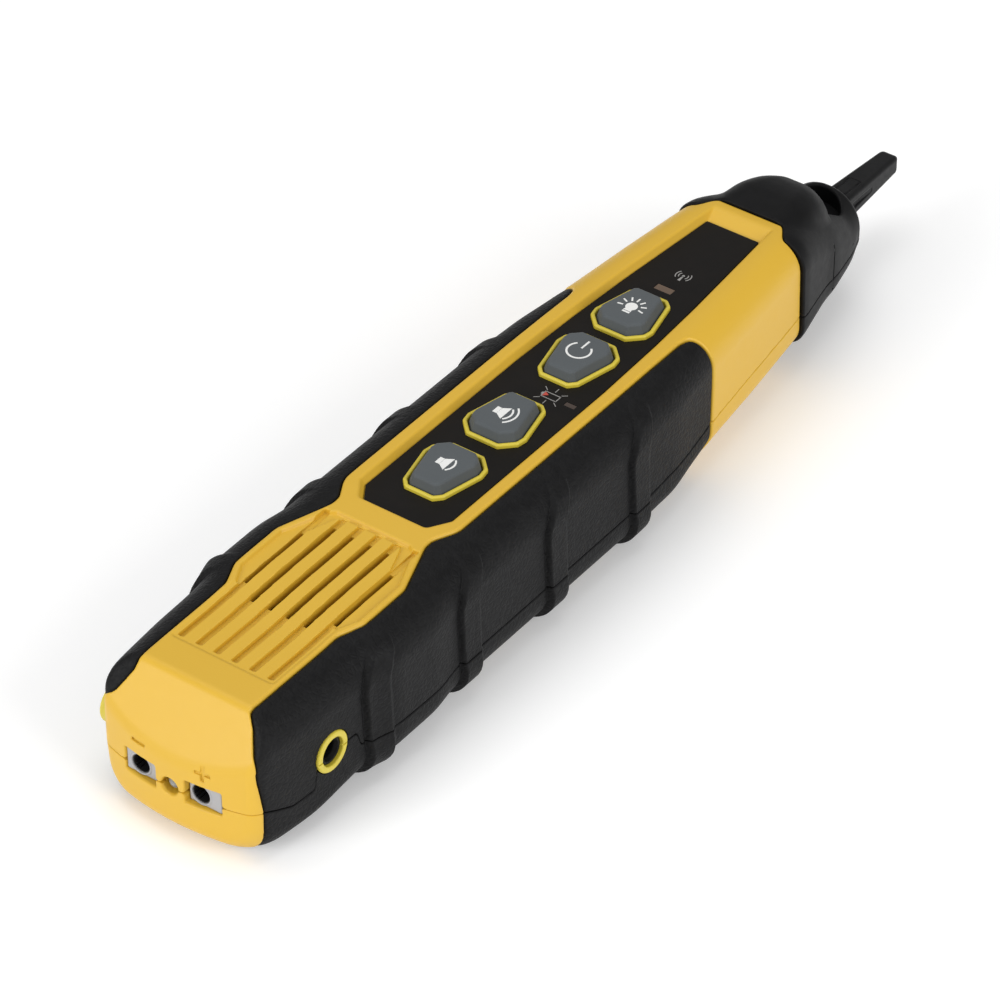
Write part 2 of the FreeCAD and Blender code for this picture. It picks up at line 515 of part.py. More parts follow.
led = cyl(2.5, 3.9, (0, 190.1, LAMP_Z), (0, 1, 0)).fuse(Part.makeSphere(2.5, V(0, 194.0, LAMP_Z))).fuse(
    cyl(2.9, 0.9, (0, 189.9, LAMP_Z), (0, 1, 0)))
put("work_light_led", one(led))
hold = cyl(LAMP_R - 0.03, 2.8, (0, 190.85, LAMP_Z), (0, 1, 0)).cut(cyl(2.55, 6, (0, 189, LAMP_Z), (0, 1, 0)))
put("work_light_holder", hold)
put("work_light_board", cyl(LAMP_R - 0.05, 1.1, (0, 188.75, LAMP_Z), (0, 1, 0)))

if __name__ == "__main__":
    os.makedirs("parts", exist_ok=True)
    for n, s in PARTS.items():
        s = s.copy()
        s.translate(ORIGIN)
        bb = s.BoundBox
        print("%-22s solids %d vol %8.1f valid %s  x %.1f..%.1f y %.1f..%.1f z %.1f..%.1f" % (
            n, len(s.Solids), s.Volume, s.isValid(), bb.XMin, bb.XMax, bb.YMin, bb.YMax, bb.ZMin, bb.ZMax))
        s.exportStep("parts/%s.step" % n)
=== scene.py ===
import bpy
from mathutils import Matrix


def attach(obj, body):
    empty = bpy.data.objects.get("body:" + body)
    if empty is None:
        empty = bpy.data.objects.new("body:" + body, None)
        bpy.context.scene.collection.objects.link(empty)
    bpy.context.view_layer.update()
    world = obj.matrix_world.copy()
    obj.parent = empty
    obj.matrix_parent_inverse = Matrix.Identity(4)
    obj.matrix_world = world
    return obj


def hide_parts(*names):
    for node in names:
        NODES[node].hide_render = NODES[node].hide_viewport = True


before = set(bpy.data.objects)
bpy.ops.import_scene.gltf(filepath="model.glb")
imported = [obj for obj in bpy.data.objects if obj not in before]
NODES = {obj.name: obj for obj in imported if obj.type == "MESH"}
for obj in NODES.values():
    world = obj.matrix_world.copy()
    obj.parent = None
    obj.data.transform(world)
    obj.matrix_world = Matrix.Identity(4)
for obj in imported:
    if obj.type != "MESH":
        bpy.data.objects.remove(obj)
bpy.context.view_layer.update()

import math
import bmesh
import bpy
import numpy as np
from mathutils import Matrix, Vector

H = 0.34          # voxel size, mm

# Lengths below are millimetres from the crease behind the grille, at the level of the label.
Y_REAR, Y_TIP, DEPTH, RIB = -8.8, 232.2, 30.5, 1.3
ORG = np.array([0.0, -(Y_REAR + Y_TIP) / 2.0, DEPTH + RIB])


def M(x, y, z):
    """layout millimetres to scene metres"""
    return Vector(((x + ORG[0]) / 1000.0, (y + ORG[1]) / 1000.0, (z + ORG[2]) / 1000.0))


# ------------------------------------------------------------------ camera
AZ, EL, FOC, DIST = math.radians(36.25), math.radians(38.65), 5.008, 939.7
BACK = Vector((math.sin(AZ) * math.cos(EL), -math.cos(AZ) * math.cos(EL), math.sin(EL)))
RIGHT = Vector((math.cos(AZ), math.sin(AZ), 0.0))
UP = BACK.cross(RIGHT)
cam_data = bpy.data.cameras.new("camera")
cam_data.sensor_fit = "HORIZONTAL"
cam_data.sensor_width = 36.0
cam_data.lens = FOC * 36.0
cam_data.clip_start, cam_data.clip_end = 0.05, 20.0
cam = bpy.data.objects.new("camera", cam_data)
bpy.context.collection.objects.link(cam)
aim = M(13.32, 74.57, 0.0)
rot = Matrix((RIGHT, UP, BACK)).transposed().to_4x4()
rot.translation = aim + BACK * (DIST / 1000.0)
cam.matrix_world = rot
bpy.context.scene.camera = cam

# ------------------------------------------------------------------ signed distance tools
f32 = np.float32


def rmax(a, b, r):
    """intersection of two solids with a rounded edge of radius r"""
    u, v = a + f32(r), b + f32(r)
    return np.minimum(np.maximum(u, v), 0) + np.sqrt(np.maximum(u, 0) ** 2 + np.maximum(v, 0) ** 2) - f32(r)


def rmin(a, b, r):
    """union of two solids with a filleted edge of radius r"""
    return -rmax(-a, -b, r)


def box2(u, v, hu, hv, r):
    qu, qv = np.abs(u) - (hu - r), np.abs(v) - (hv - r)
    return np.sqrt(np.maximum(qu, 0) ** 2 + np.maximum(qv, 0) ** 2) + np.minimum(np.maximum(qu, qv), 0) - r


def slab(u, a, b):
    return np.maximum(f32(a) - u, u - f32(b))


def poly(U, W, pts):
    """signed distance to a closed outline"""
    U, W = np.broadcast_arrays(U, W)
    d = np.full(U.shape, 1e9, f32)
    s = np.ones(U.shape, f32)
    n = len(pts)
    for i in range(n):
        ax, ay = pts[i]
        bx, by = pts[i - 1]
        ex, ey = bx - ax, by - ay
        wx, wy = U - f32(ax), W - f32(ay)
        t = np.clip((wx * ex + wy * ey) / f32(ex * ex + ey * ey), 0, 1)
        px, py = wx - t * f32(ex), wy - t * f32(ey)
        d = np.minimum(d, px * px + py * py)
        c1, c2, c3 = W >= ay, W < by, (f32(ex) * wy) > (f32(ey) * wx)
        flip = (c1 & c2 & c3) | (~c1 & ~c2 & ~c3)
        s = np.where(flip, -s, s)
    return s * np.sqrt(d)


def inset(pts, d):
    n = len(pts)
    out = []
    for i in range(n):
        (x0, y0), (x1, y1), (x2, y2) = pts[i - 1], pts[i], pts[(i + 1) % n]
        l1, l2 = math.hypot(x1 - x0, y1 - y0), math.hypot(x2 - x1, y2 - y1)
        n1 = (-(y1 - y0) / l1, (x1 - x0) / l1)
        n2 = (-(y2 - y1) / l2, (x2 - x1) / l2)
        k = 1.0 + n1[0] * n2[0] + n1[1] * n2[1]
        out.append((x1 + d * (n1[0] + n2[0]) / k, y1 + d * (n1[1] + n2[1]) / k))
    return out


def rpoly(U, W, pts, r, off=0.0):
    """signed distance to a convex outline with rounded corners; off shrinks it"""
    return poly(U, W, inset(pts, r + off)) - f32(r)


def both(half):
    return [(w, y) for y, w in half] + [(-w, y) for y, w in reversed(half)]


YT = np.arange(-20.0, 245.0, 0.25)


def curve(pts, sig):
    """smooth lookup of a dimension along the tool"""
    v = np.interp(YT, [p[0] for p in pts], [p[1] for p in pts])
    if sig > 0:
        k = np.arange(-int(4 * sig / 0.25), int(4 * sig / 0.25) + 1) * 0.25
        g = np.exp(-0.5 * (k / sig) ** 2)
        g /= g.sum()
        v = np.convolve(np.pad(v, len(k) // 2, mode="edge"), g, mode="valid")
    v = v.astype(f32)
    return lambda y: np.interp(y, YT, v).astype(f32)


# ------------------------------------------------------------------ the tool's outline
c_w = curve([(-12, 17.9), (-3.5, 18.4), (0, 19.0), (12, 20.0), (25.5, 20.5), (30.5, 22.3), (44, 22.3), (51, 21.0), (62, 21.1),
             (110, 21.1), (124, 20.5), (132, 19.4), (140, 18.4), (156, 16.9), (172, 15.2), (182, 13.9)], 1.6)
c_top = curve([(-20, 0.0), (20, 0.05), (32, 0.6), (52, 0.9), (60, 1.3), (66, 1.35), (171, 1.35), (176, 1.2), (180, 1.0)], 1.5)
c_dep = curve([(-12, 29.6), (-3, 30.2), (5, 30.5), (124, 30.5), (132, 28.7), (140, 27.5), (156, 26.7), (173, 25.6), (182, 25.1)], 1.6)
c_rt = curve([(-12, 7.4), (12, 7.6), (60, 8.0), (124, 8.0), (140, 7.4), (172, 6.6), (182, 6.5)], 1.5)
c_rail = curve([(-9, 19.0), (-5.1, 16.5), (-2.35, 14.3), (-1.0, 13.3), (0.0, 12.75), (1.3, 12.7), (2.4, 12.8), (25.2, 13.0), (30.4, 15.15), (42.6, 15.15),
                (49.5, 12.7), (54.4, 10.95), (56.6, 10.95), (60.6, 13.1), (62.2, 13.5), (112, 13.6), (126, 13.5),
                (133.8, 13.4), (136.8, 14.0), (138.8, 16.6), (142, 17.6)], 0.55)
c_part = curve([(-20, -19.35), (-3, -19.35), (5, -20.7), (112, -20.7), (130, -20.0), (142, -18.8), (152, -18.0), (175, -16.8), (185, -17.0),
                (204, -18.3), (245, -18.3)], 1.6)
c_side = curve([(-20, -19.35), (-3.5, -19.4), (3.5, -22.3), (9.55, -22.3), (9.8, -16.7), (21.3, -16.7), (22.1, -20.4), (45, -21.0), (112, -20.8), (130, -20.0), (142, -18.8), (152, -18.0), (245, -18.0)], 0.35)
c_rb = curve([(-12, 7.3), (-5, 7.0), (-2, 4.6), (10, 4.4), (18, 6.2), (26, 7.8), (120, 7.8), (132, 7.0), (140, 6.2), (182, 6.0)], 1.6)


def section(X, Y, Z, w, top, dep, rt, rb):
    zm, hh = (top - dep) * f32(0.5), (top + dep) * f32(0.5)
    r = np.where(Z > zm, rt, rb)
    qx, qz = np.abs(X) - (w - r), np.abs(Z - zm) - (hh - r)
    return np.sqrt(np.maximum(qx, 0) ** 2 + np.maximum(qz, 0) ** 2) + np.minimum(np.maximum(qx, qz), 0) - r


def body(X, Y, Z):
    """outside of the yellow and black body, from the rear end to the nose"""
    d = section(X, Y, Z, c_w(Y), c_top(Y), c_dep(Y), c_rt(Y), c_rb(Y))
    end = (f32(-8.45) + f32(0.0092) * X * X) - Y
    d = rmax(d, end, np.interp(Z, (-30.0, -25.0, -19.0), (4.2, 3.6, 2.5)).astype(f32))
    slope = (-10.0 * Y + 7.0 * Z) / f32(12.2066)
    k = f32(1.1)
    hdiff = np.clip(0.5 + 0.5 * (d - slope) / k, 0, 1)
    return d * hdiff + slope * (1 - hdiff) + k * hdiff * (1 - hdiff)


SIDE = [(-2.8, -45.0), (124.2, -45.0), (133.0, -29.0), (138.2, -23.5), (138.4, -8.0), (137.6, 8.0), (-5.0, 8.0), (-4.9, -6.0), (-4.5, -12.0), (-3.6, -19.0)]


def grip_zone(X, Y, Z):
    """negative where the black grip lies"""
    s = poly(Y, Z, inset(SIDE, 2.2)) - f32(2.2)
    rail = c_rail(Y) - np.abs(X) + np.where(X > 0, f32(0.9), f32(-0.6)) * np.clip(-Y / 1.5, 0, 1)
    bottom_door = np.maximum(np.maximum(np.abs(X) - f32(14.2), slab(Y, 58.0, 128.5)), Z + f32(24.0))
    rail = rail - np.clip((f32(-9.5) - Z) * f32(1.2), 0, 30)
    soft = np.clip(Y * f32(0.1), 0.9, 2.6).astype(f32)
    return np.maximum(rmax(s, rail * f32(0.93), soft), -bottom_door)


RIB_Y = (22.75, 50.95, 78.5, 106.1)


LEAN_Z = (-30.0, -24.0, -18.0, -14.0, -9.0, -7.0, -4.5, -2.6, -1.0, 1.5)
LEAN_Y = (1.4, 1.3, 0.7, 0.5, 0.15, 0.35, 1.7, 3.4, 4.6, 5.6)


def ribs(X, Y, Z):
    """height of the grip ribs over the body; their rear edge sweeps forward near the top and a little near the bottom"""
    h = np.zeros(np.broadcast(Y, Z).shape, f32)
    lean = np.interp(Z, LEAN_Z, LEAN_Y).astype(f32)
    fade = np.clip((f32(1.0) - Z) / 3.6, 0, 1)
    fade = fade * fade * (3 - 2 * fade)
    line = np.clip((f32(-1.5) - Z) / 4.0, 0, 1)
    rise = f32(0.95) + f32(0.35) * np.clip((f32(-20.0) - Z) / 6.0, 0, 1)
    for y0 in RIB_Y:
        t = Y - f32(y0) - lean
        up = np.clip((t - 0.3) / 0.8 + 0.5, 0, 1)
        up = up * up * (3 - 2 * up)
        dn = np.clip((f32(6.2) - t - lean * f32(0.3)) / 1.6 + 0.5, 0, 1)
        dn = dn * dn * (3 - 2 * dn)
        h = h + up * dn * rise * fade
        groove = np.exp(-((t + 0.1) / 0.34) ** 2) * np.clip((Z + 27.5) / 1.5, 0, 1)
        h = h - groove * f32(0.34) * line
    return h


FRONT_STEP = 3.8


def nose_zone(X, Y, Z):
    """negative where the nose lies"""
    ax = np.abs(X)
    t = np.clip((f32(10.9) - ax) / 3.7, 0, 1)
    t = t * t * (3 - 2 * t) * np.clip((Z + 5.0) / 3.0, 0, 1)
    yb = f32(174.4) + f32(FRONT_STEP) * t + f32(0.05) * np.clip(-Z, 0, 30)
    return (yb - Y) * f32(0.93)


LABEL = [(59.5, 7.4), (63.3, 9.85), (112.0, 9.85), (130.0, 9.3), (145.0, 8.45), (172.0, 6.3)]
KEYS = {
    "volume_down_button": [(66.7, 3.3), (68.4, 4.9), (77.6, 7.0), (80.0, 6.6), (82.8, 3.7)],
    "volume_up_button": [(86.7, 3.7), (89.6, 6.6), (91.8, 7.0), (101.0, 4.9), (102.4, 3.3)],
    "power_button": [(110.0, 3.3), (111.7, 4.9), (120.9, 7.0), (123.2, 6.6), (126.0, 3.7)],
    "light_button": [(128.9, 3.7), (131.8, 6.6), (133.9, 7.0), (142.9, 4.9), (144.3, 3.3)],
}
RIM_W, KEY_GAP = 0.85, 0.3
GROOVES = (-10.35, -6.2, -2.07, 2.07, 6.2, 10.35)


def grille_cut(X, Y, Z):
    """grooves, slots and the shallow field round them, negative where material is taken"""
    top = c_top(Y)
    ax = np.abs(X)
    rel = Z - top
    field = rpoly(X, Y, both([(26.6, 11.5), (30.8, 13.5), (42.6, 13.5), (51.6, 9.9), (52.7, 8.4)]), 0.5)
    field = field - np.clip(rel + f32(0.7), 0, 2) * f32(0.5)
    field = np.maximum(field, f32(-0.7) - rel)
    # the raised bars fill the field, with their outer corners cut off along its edge
    bars = rpoly(X, Y, both([(5.0, 9.75), (45.3, 9.75), (51.3, 7.5), (51.95, 6.7)]), 0.4)
    field = np.maximum(field, -bars)
    d = field
    for gx in GROOVES:
        wide = 0.70 if abs(gx) < 9 else 0.62
        dx = np.abs(X - f32(gx)) - f32(wide)
        g = rmax(dx, slab(Y, 8.7, 52.35), 0.35) - np.clip(rel + f32(1.15), 0, 2) * f32(0.06)
        g = np.maximum(g, f32(-1.15) - rel)
        y0, y1 = (24.6, 49.8) if abs(gx) < 9 else (28.0, 45.2)
        s = np.maximum(rmax(dx + f32(0.02), slab(Y, y0, y1), 0.2), slab(Z, -6.0, 5.0))
        d = np.minimum(d, np.minimum(g, s))
    # long soft step between the rails and the bars
    step = np.maximum(rpoly(X, Y, both([(7.9, 11.55), (27.5, 11.75), (30.8, 13.6), (42.6, 13.6), (51.8, 9.9), (52.8, 8.5)]), 0.6)
                      - np.clip(rel + f32(0.2), 0, 2) * f32(1.6), f32(-0.2) - rel)
    return np.minimum(d, step)


def label_cut(X, Y, Z):
    zz = Z + f32(0.5)
    ax = np.abs(X)
    n = len(LABEL)
    sides = rpoly(X, Y, both(LABEL[:-1] + [(178.0, 5.82)]), 0.5)
    front = (Y - f32(172.1)) * f32(0.42) - zz * f32(0.9)
    d = rmax(sides * f32(0.86) - zz * f32(0.5), front, 0.25)
    return np.maximum(d, -zz)


SZ = -18.65


def windows_cut(X, Y, Z):
    """socket windows, lamp hole and engraved signs in the rear end"""
    yend = f32(-8.45) + f32(0.0092) * X * X
    u = np.abs(X) - f32(7.25)
    w = box2(u, Z - f32(SZ), 3.82, 2.6, 0.3)
    w = np.maximum(w - f32(0.22) * np.clip((yend + f32(0.45) - Y) / 0.45, 0, 2), slab(Y, -14.0, 6.0))
    # the seam opens a little where it meets the windows and the lamp hole
    vee = (np.abs(Z + f32(19.25)) + np.minimum(np.abs(u), np.abs(X)) * 0) * f32(0.7)
    nick = np.maximum(vee + (np.abs(np.abs(u) - f32(3.8)) - f32(0.75)) * f32(0.42), slab(Y, -14.0, -6.4))
    w = np.minimum(w, nick)
    r = np.sqrt(X * X + (Z + f32(19.1)) ** 2)
    lamp = r - f32(1.85) - f32(0.25) * np.clip((yend + f32(0.5) - Y) / 0.5, 0, 2)
    lamp = np.maximum(lamp, slab(Y, -14.0, 6.0))
    nick = np.maximum(vee + (np.abs(np.abs(X) - f32(1.9)) - f32(0.55)) * f32(0.42), slab(Y, -14.0, -6.9))
    lamp = np.minimum(lamp, nick)
    deep = Y - (yend + f32(0.5))
    minus = box2(X + f32(7.4), Z + f32(12.7), 1.62, 0.36, 0.1)
    p1 = box2(X - f32(7.4), Z + f32(12.75), 1.65, 0.36, 0.1)
    p2 = box2(X - f32(7.4), Z + f32(12.75), 0.36, 1.7, 0.1)
    signs = np.maximum(np.minimum(minus, np.minimum(p1, p2)), deep)
    return np.minimum(np.minimum(w, lamp), signs)


JY, JZ, RING_R, RING_RI = 14.1, -16.3, 4.35, 2.95
EY, EZ, EX = 3.45, -18.2, 22.8
JX1 = 20.25


def tube_x(X, Y, Z, y, z, r):
    return np.sqrt((Y - f32(y)) ** 2 + (Z - f32(z)) ** 2) - f32(r)


def part_z(X, Y):
    """level of the seam between the halves; it rises to the jack on the right side"""
    return np.where(X > 0, c_side(Y), c_part(Y))


WALL = 2.9


def shell(X, Y, Z, b):
    return np.maximum(b, -(b + f32(WALL)))


def yellow_base(X, Y, Z):
    b = body(X, Y, Z)
    g = grip_zone(X, Y, Z)
    d = rmax(b, -(g - f32(0.10)), 0.55)
    # under the grip the housing goes on, 1.6 mm lower
    core = np.maximum(b + f32(1.62), g - f32(0.6))
    d = np.minimum(d, core)
    d = rmax(d, -(nose_zone(X, Y, Z) - f32(0.08)), 0.3)
    inner = b + f32(WALL)
    inner = np.maximum(inner, f32(-5.4) - Y)
    thin = np.maximum(box2(X, Y - f32(38.0), 12.6, 15.2, 2.0), slab(Z, -6.0, -1.9))
    return np.maximum(d, -np.minimum(inner, thin))


def upper_housing(X, Y, Z):
    d = yellow_base(X, Y, Z)
    d = rmax(d, (c_part(Y) + f32(0.05)) - Z, 0.22)
    d = rmax(d, -grille_cut(X, Y, Z), 0.22)
    d = rmax(d, -label_cut(X, Y, Z), 0.35)
    d = rmax(d, -windows_cut(X, Y, Z), 0.2)
    for half in KEYS.values():
        k = np.maximum(rpoly(X, Y, both(half), 1.1), slab(Z, -6.0, 5.0))
        d = np.maximum(d, -(k - f32(0.05)))
    d = np.maximum(d, -np.maximum(box2(X, Y - f32(147.775), 2.05, 0.925, 0.1), slab(Z, -6, 5)))
    d = np.maximum(d, -np.maximum(box2(X - f32(7.05), Y - f32(105.975), 1.25, 0.625, 0.1), slab(Z, -6, 5)))
    d = np.maximum(d, -np.maximum(tube_x(X, Y, Z, JY, JZ, RING_R + 0.1), 12.0 - X))
    d = np.maximum(d, -np.maximum(tube_x(X, Y, Z, EY, EZ, RING_R + 0.1), X + 13.5))
    return d


SCREWS = ((0.0, 7.4, 30.5), (-14.6, 56.5, 30.5), (14.6, 56.5, 30.5), (-11.0, 161.0, 26.4), (11.0, 161.0, 26.4))
DOOR = (14.0, 62.0, 124.0)
SCREW_Y = 120.8


def screw_holes(X, Y, Z, r):
    d = None
    for x, y, h in SCREWS:
        e = np.maximum(np.sqrt((X - f32(x)) ** 2 + (Y - f32(y)) ** 2) - f32(r), Z - f32(-h + 4.7))
        d = e if d is None else np.minimum(d, e)
    return d


def lower_housing(X, Y, Z):
    d = yellow_base(X, Y, Z)
    d = rmax(d, Z - (c_part(Y) - f32(0.05)), 0.22)
    d = rmax(d, -windows_cut(X, Y, Z), 0.2)
    door = np.maximum(np.maximum(np.abs(X) - f32(DOOR[0]), slab(Y, DOOR[1], DOOR[2])), Z + f32(26.45))
    d = rmax(d, -door, 0.3)
    for x, y, h in SCREWS:
        post = np.maximum(np.sqrt((X - f32(x)) ** 2 + (Y - f32(y)) ** 2) - f32(3.4), slab(Z, -h + 0.8, -20.7))
        post = np.maximum(post, body(X, Y, Z) + f32(0.8))
        d = np.minimum(d, post)
    d = rmax(d, -screw_holes(X, Y, Z, 2.3), 0.2)
    # battery bay walls, door screw boss
    wall = np.maximum(np.maximum(np.abs(X) - f32(15.2), slab(Y, 62.8, 118.2)), slab(Z, -27.6, -20.7))
    cav = np.maximum(np.abs(X) - f32(13.9), slab(Y, 64.1, 116.9))
    wall = np.maximum(wall, -cav)
    wall = np.maximum(wall, body(X, Y, Z) + f32(1.7))
    boss = np.maximum(np.sqrt(X * X + (Y - f32(SCREW_Y)) ** 2) - f32(2.8), slab(Z, -26.4, -20.7))
    web = np.maximum(np.maximum(np.abs(X) - f32(14.5), np.abs(Y - f32(SCREW_Y)) - f32(0.8)), slab(Z, -26.4, -22.4))
    d = np.minimum(d, np.minimum(wall, np.minimum(boss, web)))
    d = np.maximum(d, -np.maximum(np.sqrt(X * X + (Y - f32(SCREW_Y)) ** 2) - f32(1.05), slab(Z, -28.0, -21.5)))
    d = np.maximum(d, -np.maximum(tube_x(X, Y, Z, JY, JZ, RING_R + 0.1), 12.0 - X))
    d = np.maximum(d, -np.maximum(tube_x(X, Y, Z, EY, EZ, RING_R + 0.1), X + 13.5))
    return d


def grip(X, Y, Z, which):
    b = body(X, Y, Z)
    rb = b - ribs(X, Y, Z)
    g = grip_zone(X, Y, Z)
    # the grip lies a little below the yellow rails
    near = np.clip((f32(3.0) + g) / 3.0, 0, 1)
    d = rmax(rb + f32(0.12) + near * f32(0.12), g + f32(0.10), 0.5)
    d = np.maximum(d, -(b + f32(1.5)))
    pz = part_z(X, Y)
    if which == "upper":
        d = rmax(d, (pz + f32(0.09)) - Z, 0.28)
    else:
        d = rmax(d, Z - (pz - f32(0.09)), 0.28)
        d = rmax(d, -screw_holes(X, Y, Z, 2.4), 0.25)
    # openings for the jack and the eyelet; the shallow dish round the jack is computed but not cut
    dish = tube_x(X, Y, Z, JY, JZ, 6.6)
    d = np.maximum(d, -(np.maximum(tube_x(X, Y, Z, JY, JZ, RING_R + 0.07), 12.0 - X)))
    d = np.maximum(d, -(np.maximum(tube_x(X, Y, Z, EY, EZ, RING_R + 0.07), X + 12.0)))
    return d


n_w = curve([(170, 15.7), (174, 15.7), (177, 15.5), (180, 14.8), (188, 13.0), (193, 12.4), (196, 11.7), (200, 10.8), (202.5, 10.1), (206.3, 8.6), (209, 7.9)], 0.9)
n_top = curve([(170, 1.3), (174, 1.35), (177, 1.2), (180, 0.4), (188, -2.2), (196, -5.2), (202.5, -8.3), (206.3, -8.35), (209, -8.6)], 1.0)
n_dep = curve([(170, 25.8), (174, 25.6), (180, 25.2), (188, 24.8), (196, 24.5), (202.5, 24.3), (209, 23.9)], 1.2)
n_rt = curve([(170, 6.6), (180, 6.6), (188, 7.2), (196, 8.8), (202.5, 9.3), (206.5, 8.2), (209, 7.6)], 1.2)
h_w = curve([(174, 10.7), (181, 10.7), (187, 10.4), (191, 9.8), (194, 8.8), (196, 7.8)], 0.8)
h_top = curve([(174, 1.7), (182, 1.9), (186, 1.9), (189, 1.5), (192, 0.8), (194, 0.0), (196, -1.0)], 0.8)
h_r = curve([(174, 5.0), (187, 6.2), (196, 7.0)], 1.0)
LAMP_Z, LAMP_R, TIP_Z = -8.3, 3.95, -16.0
HOOD_Y = 195.4


def nose(X, Y, Z, which):
    b = section(X, Y, Z, n_w(Y), n_top(Y), n_dep(Y), n_rt(Y), 5.8)
    b = rmax(b, Y - f32(208.4), 1.6)
    hd = section(X, Y, Z, h_w(Y), h_top(Y), f32(14.0), h_r(Y), 1.0)
    hd = rmax(hd, Y - f32(HOOD_Y), 0.8)
    d = rmin(b, hd, 0.7)
    # open pocket in front of the hood, round at its front end, and the tunnel of the lamp
    plan = np.where(Y < 199.6, np.abs(X) - f32(6.9), np.sqrt(X * X + (Y - f32(199.6)) ** 2) - f32(6.9))
    pocket = np.maximum(plan, np.maximum(f32(HOOD_Y) - Y, f32(-12.6) - Z))
    tun = np.sqrt(X * X + (Z - f32(LAMP_Z)) ** 2) - f32(LAMP_R) - f32(1.4) * np.clip((Y - f32(192.6)) / 3.0, 0, 1)
    tun = np.maximum(tun, slab(Y, 187.0, 197.0))
    d = rmax(d, -np.minimum(tun, pocket), 0.7)
    # seat of the tip
    r2 = np.sqrt(X * X + (Z - f32(TIP_Z)) ** 2)
    d = np.maximum(d, -np.maximum(r2 - f32(2.75), slab(Y, 186.0, 212.0)))
    tipseat = np.maximum(box2(X, Z - f32(TIP_Z), 3.3, 3.25, 1.1), slab(Y, 208.15, 212.0))
    d = rmax(d, -tipseat, 0.15)
    # hollow behind
    hol = section(X, Y, Z, n_w(Y) - f32(2.2), np.minimum(n_top(Y), f32(-1.0)) - f32(2.2), n_dep(Y) - f32(2.2), f32(4.5), 4.0)
    hol = np.maximum(hol, Y - f32(188.5))
    d = np.maximum(d, -hol)
    # thin seam across the side
    seam = np.maximum(np.abs(Y - f32(190.8)) - f32(0.12), -(b + f32(0.22)))
    seam = np.maximum(seam, np.maximum(slab(Z, -20.5, -8.8), f32(6.0) - np.abs(X)))
    d = np.maximum(d, -seam)
    d = rmax(d, nose_zone(X, Y, Z) + f32(0.08), 0.5)
    if which == "upper":
        d = rmax(d, c_part(Y) + f32(0.07) - Z, 0.22)
    else:
        d = rmax(d, Z - c_part(Y) + f32(0.07), 0.22)
    return d


t_w = curve([(205, 3.25), (208.4, 3.2), (220, 2.7), (231, 2.2), (233, 2.15)], 0.5)


def tip(X, Y, Z):
    w = t_w(Y)
    d = box2(X, (Z - f32(TIP_Z)) * f32(1.02), w, w, f32(0.95))
    d = rmax(d, Y - f32(232.2), 1.8)
    # finger shaped grooves on both sides and a low panel on top
    gw = f32(1.05) - (Y - f32(209.0)) * f32(0.05)
    gr = rmax(np.abs(Z - f32(TIP_Z)) - gw, slab(Y, 209.2, 220.5), 0.4)
    gr = np.maximum(gr, (w - f32(0.45) * np.clip((f32(221.5) - Y) / 6.0, 0, 1)) - np.abs(X))
    d = rmax(d, -gr, 0.3)
    pan = np.abs(box2(X, Y - f32(214.6), 1.4, 3.4, 0.5)) - f32(0.2)
    pan = np.maximum(pan, (f32(TIP_Z) + w / f32(1.02) - f32(0.16)) - Z)
    d = np.maximum(d, -pan)
    d = np.maximum(d, f32(208.3) - Y)
    stem = np.maximum(np.sqrt(X * X + (Z - f32(TIP_Z)) ** 2) - f32(2.6), slab(Y, 193.4, 209.0))
    return np.minimum(d, stem)


def jack_ring(X, Y, Z):
    d = rmax(tube_x(X, Y, Z, JY, JZ, RING_R), X - f32(JX1), 0.45)
    d = rmax(d, -tube_x(X, Y, Z, JY, JZ, RING_RI + 0.04), 0.3)
    d = np.maximum(d, f32(17.0) - X)
    for s in (-1, 1):
        # the split line of the two halves crosses the ring
        cutn = np.maximum(np.abs(Z - f32(JZ - 0.4)) - f32(0.12), (f32(JX1 - 0.3) - X))
        cutn = np.maximum(cutn, -(Y - f32(JY)) * s)
        d = np.maximum(d, -cutn)
    return d


def jack_body(X, Y, Z):
    d = rmax(tube_x(X, Y, Z, JY, JZ, RING_RI - 0.02), X - f32(JX1 - 0.7), 0.3)
    d = np.maximum(d, f32(11.9) - X)
    back = np.maximum(box2(Y - f32(JY), Z - f32(JZ), 3.6, 3.0, 0.3), slab(X, 4.6, 12.0))
    d = np.minimum(d, back)
    bore = np.maximum(tube_x(X, Y, Z, JY, JZ, 1.85), f32(JX1 - 15.3) - X)
    cone = tube_x(X, Y, Z, JY, JZ, 2.2) - (X - f32(JX1 - 0.9)) * f32(0.5)
    cone = np.maximum(cone, f32(JX1 - 1.8) - X)
    return np.maximum(d, -np.minimum(bore, cone))


def eyelet(X, Y, Z):
    d = rmax(tube_x(X, Y, Z, EY, EZ, RING_R), -X - f32(EX), 0.55)
    d = np.maximum(d, X + f32(15.6))
    hole = np.maximum(tube_x(X, Y, Z, EY, EZ, 2.3), X + f32(19.0))
    d = rmax(d, -hole, 0.4)
    bar = np.maximum(np.maximum(np.abs(Y - f32(EY)) - f32(0.9), np.abs(Z - f32(EZ)) - f32(2.6)), slab(X, -EX + 0.5, -EX + 2.0))
    return np.minimum(d, bar)


def rims(X, Y, Z):
    plate = np.maximum(box2(X, Y - f32(105.4), 9.3, 40.9, 0.5), slab(Z, -2.75, -1.65))
    d = None
    for half in KEYS.values():
        r = rpoly(X, Y, both(half), 1.1)
        r = rmax(r, Z - f32(0.8), 0.38)
        r = np.maximum(r, f32(-1.9) - Z)
        d = r if d is None else np.minimum(d, r)
    d = np.minimum(d, plate)
    for half in KEYS.values():
        hole = rpoly(X, Y, both(half), 0.7, RIM_W)
        d = rmax(d, -hole, 0.3)
    return np.maximum(d, -np.maximum(box2(X - f32(7.05), Y - f32(105.975), 1.5, 0.9, 0.1), slab(Z, -6, 5)))


KEY_TOP = 2.65


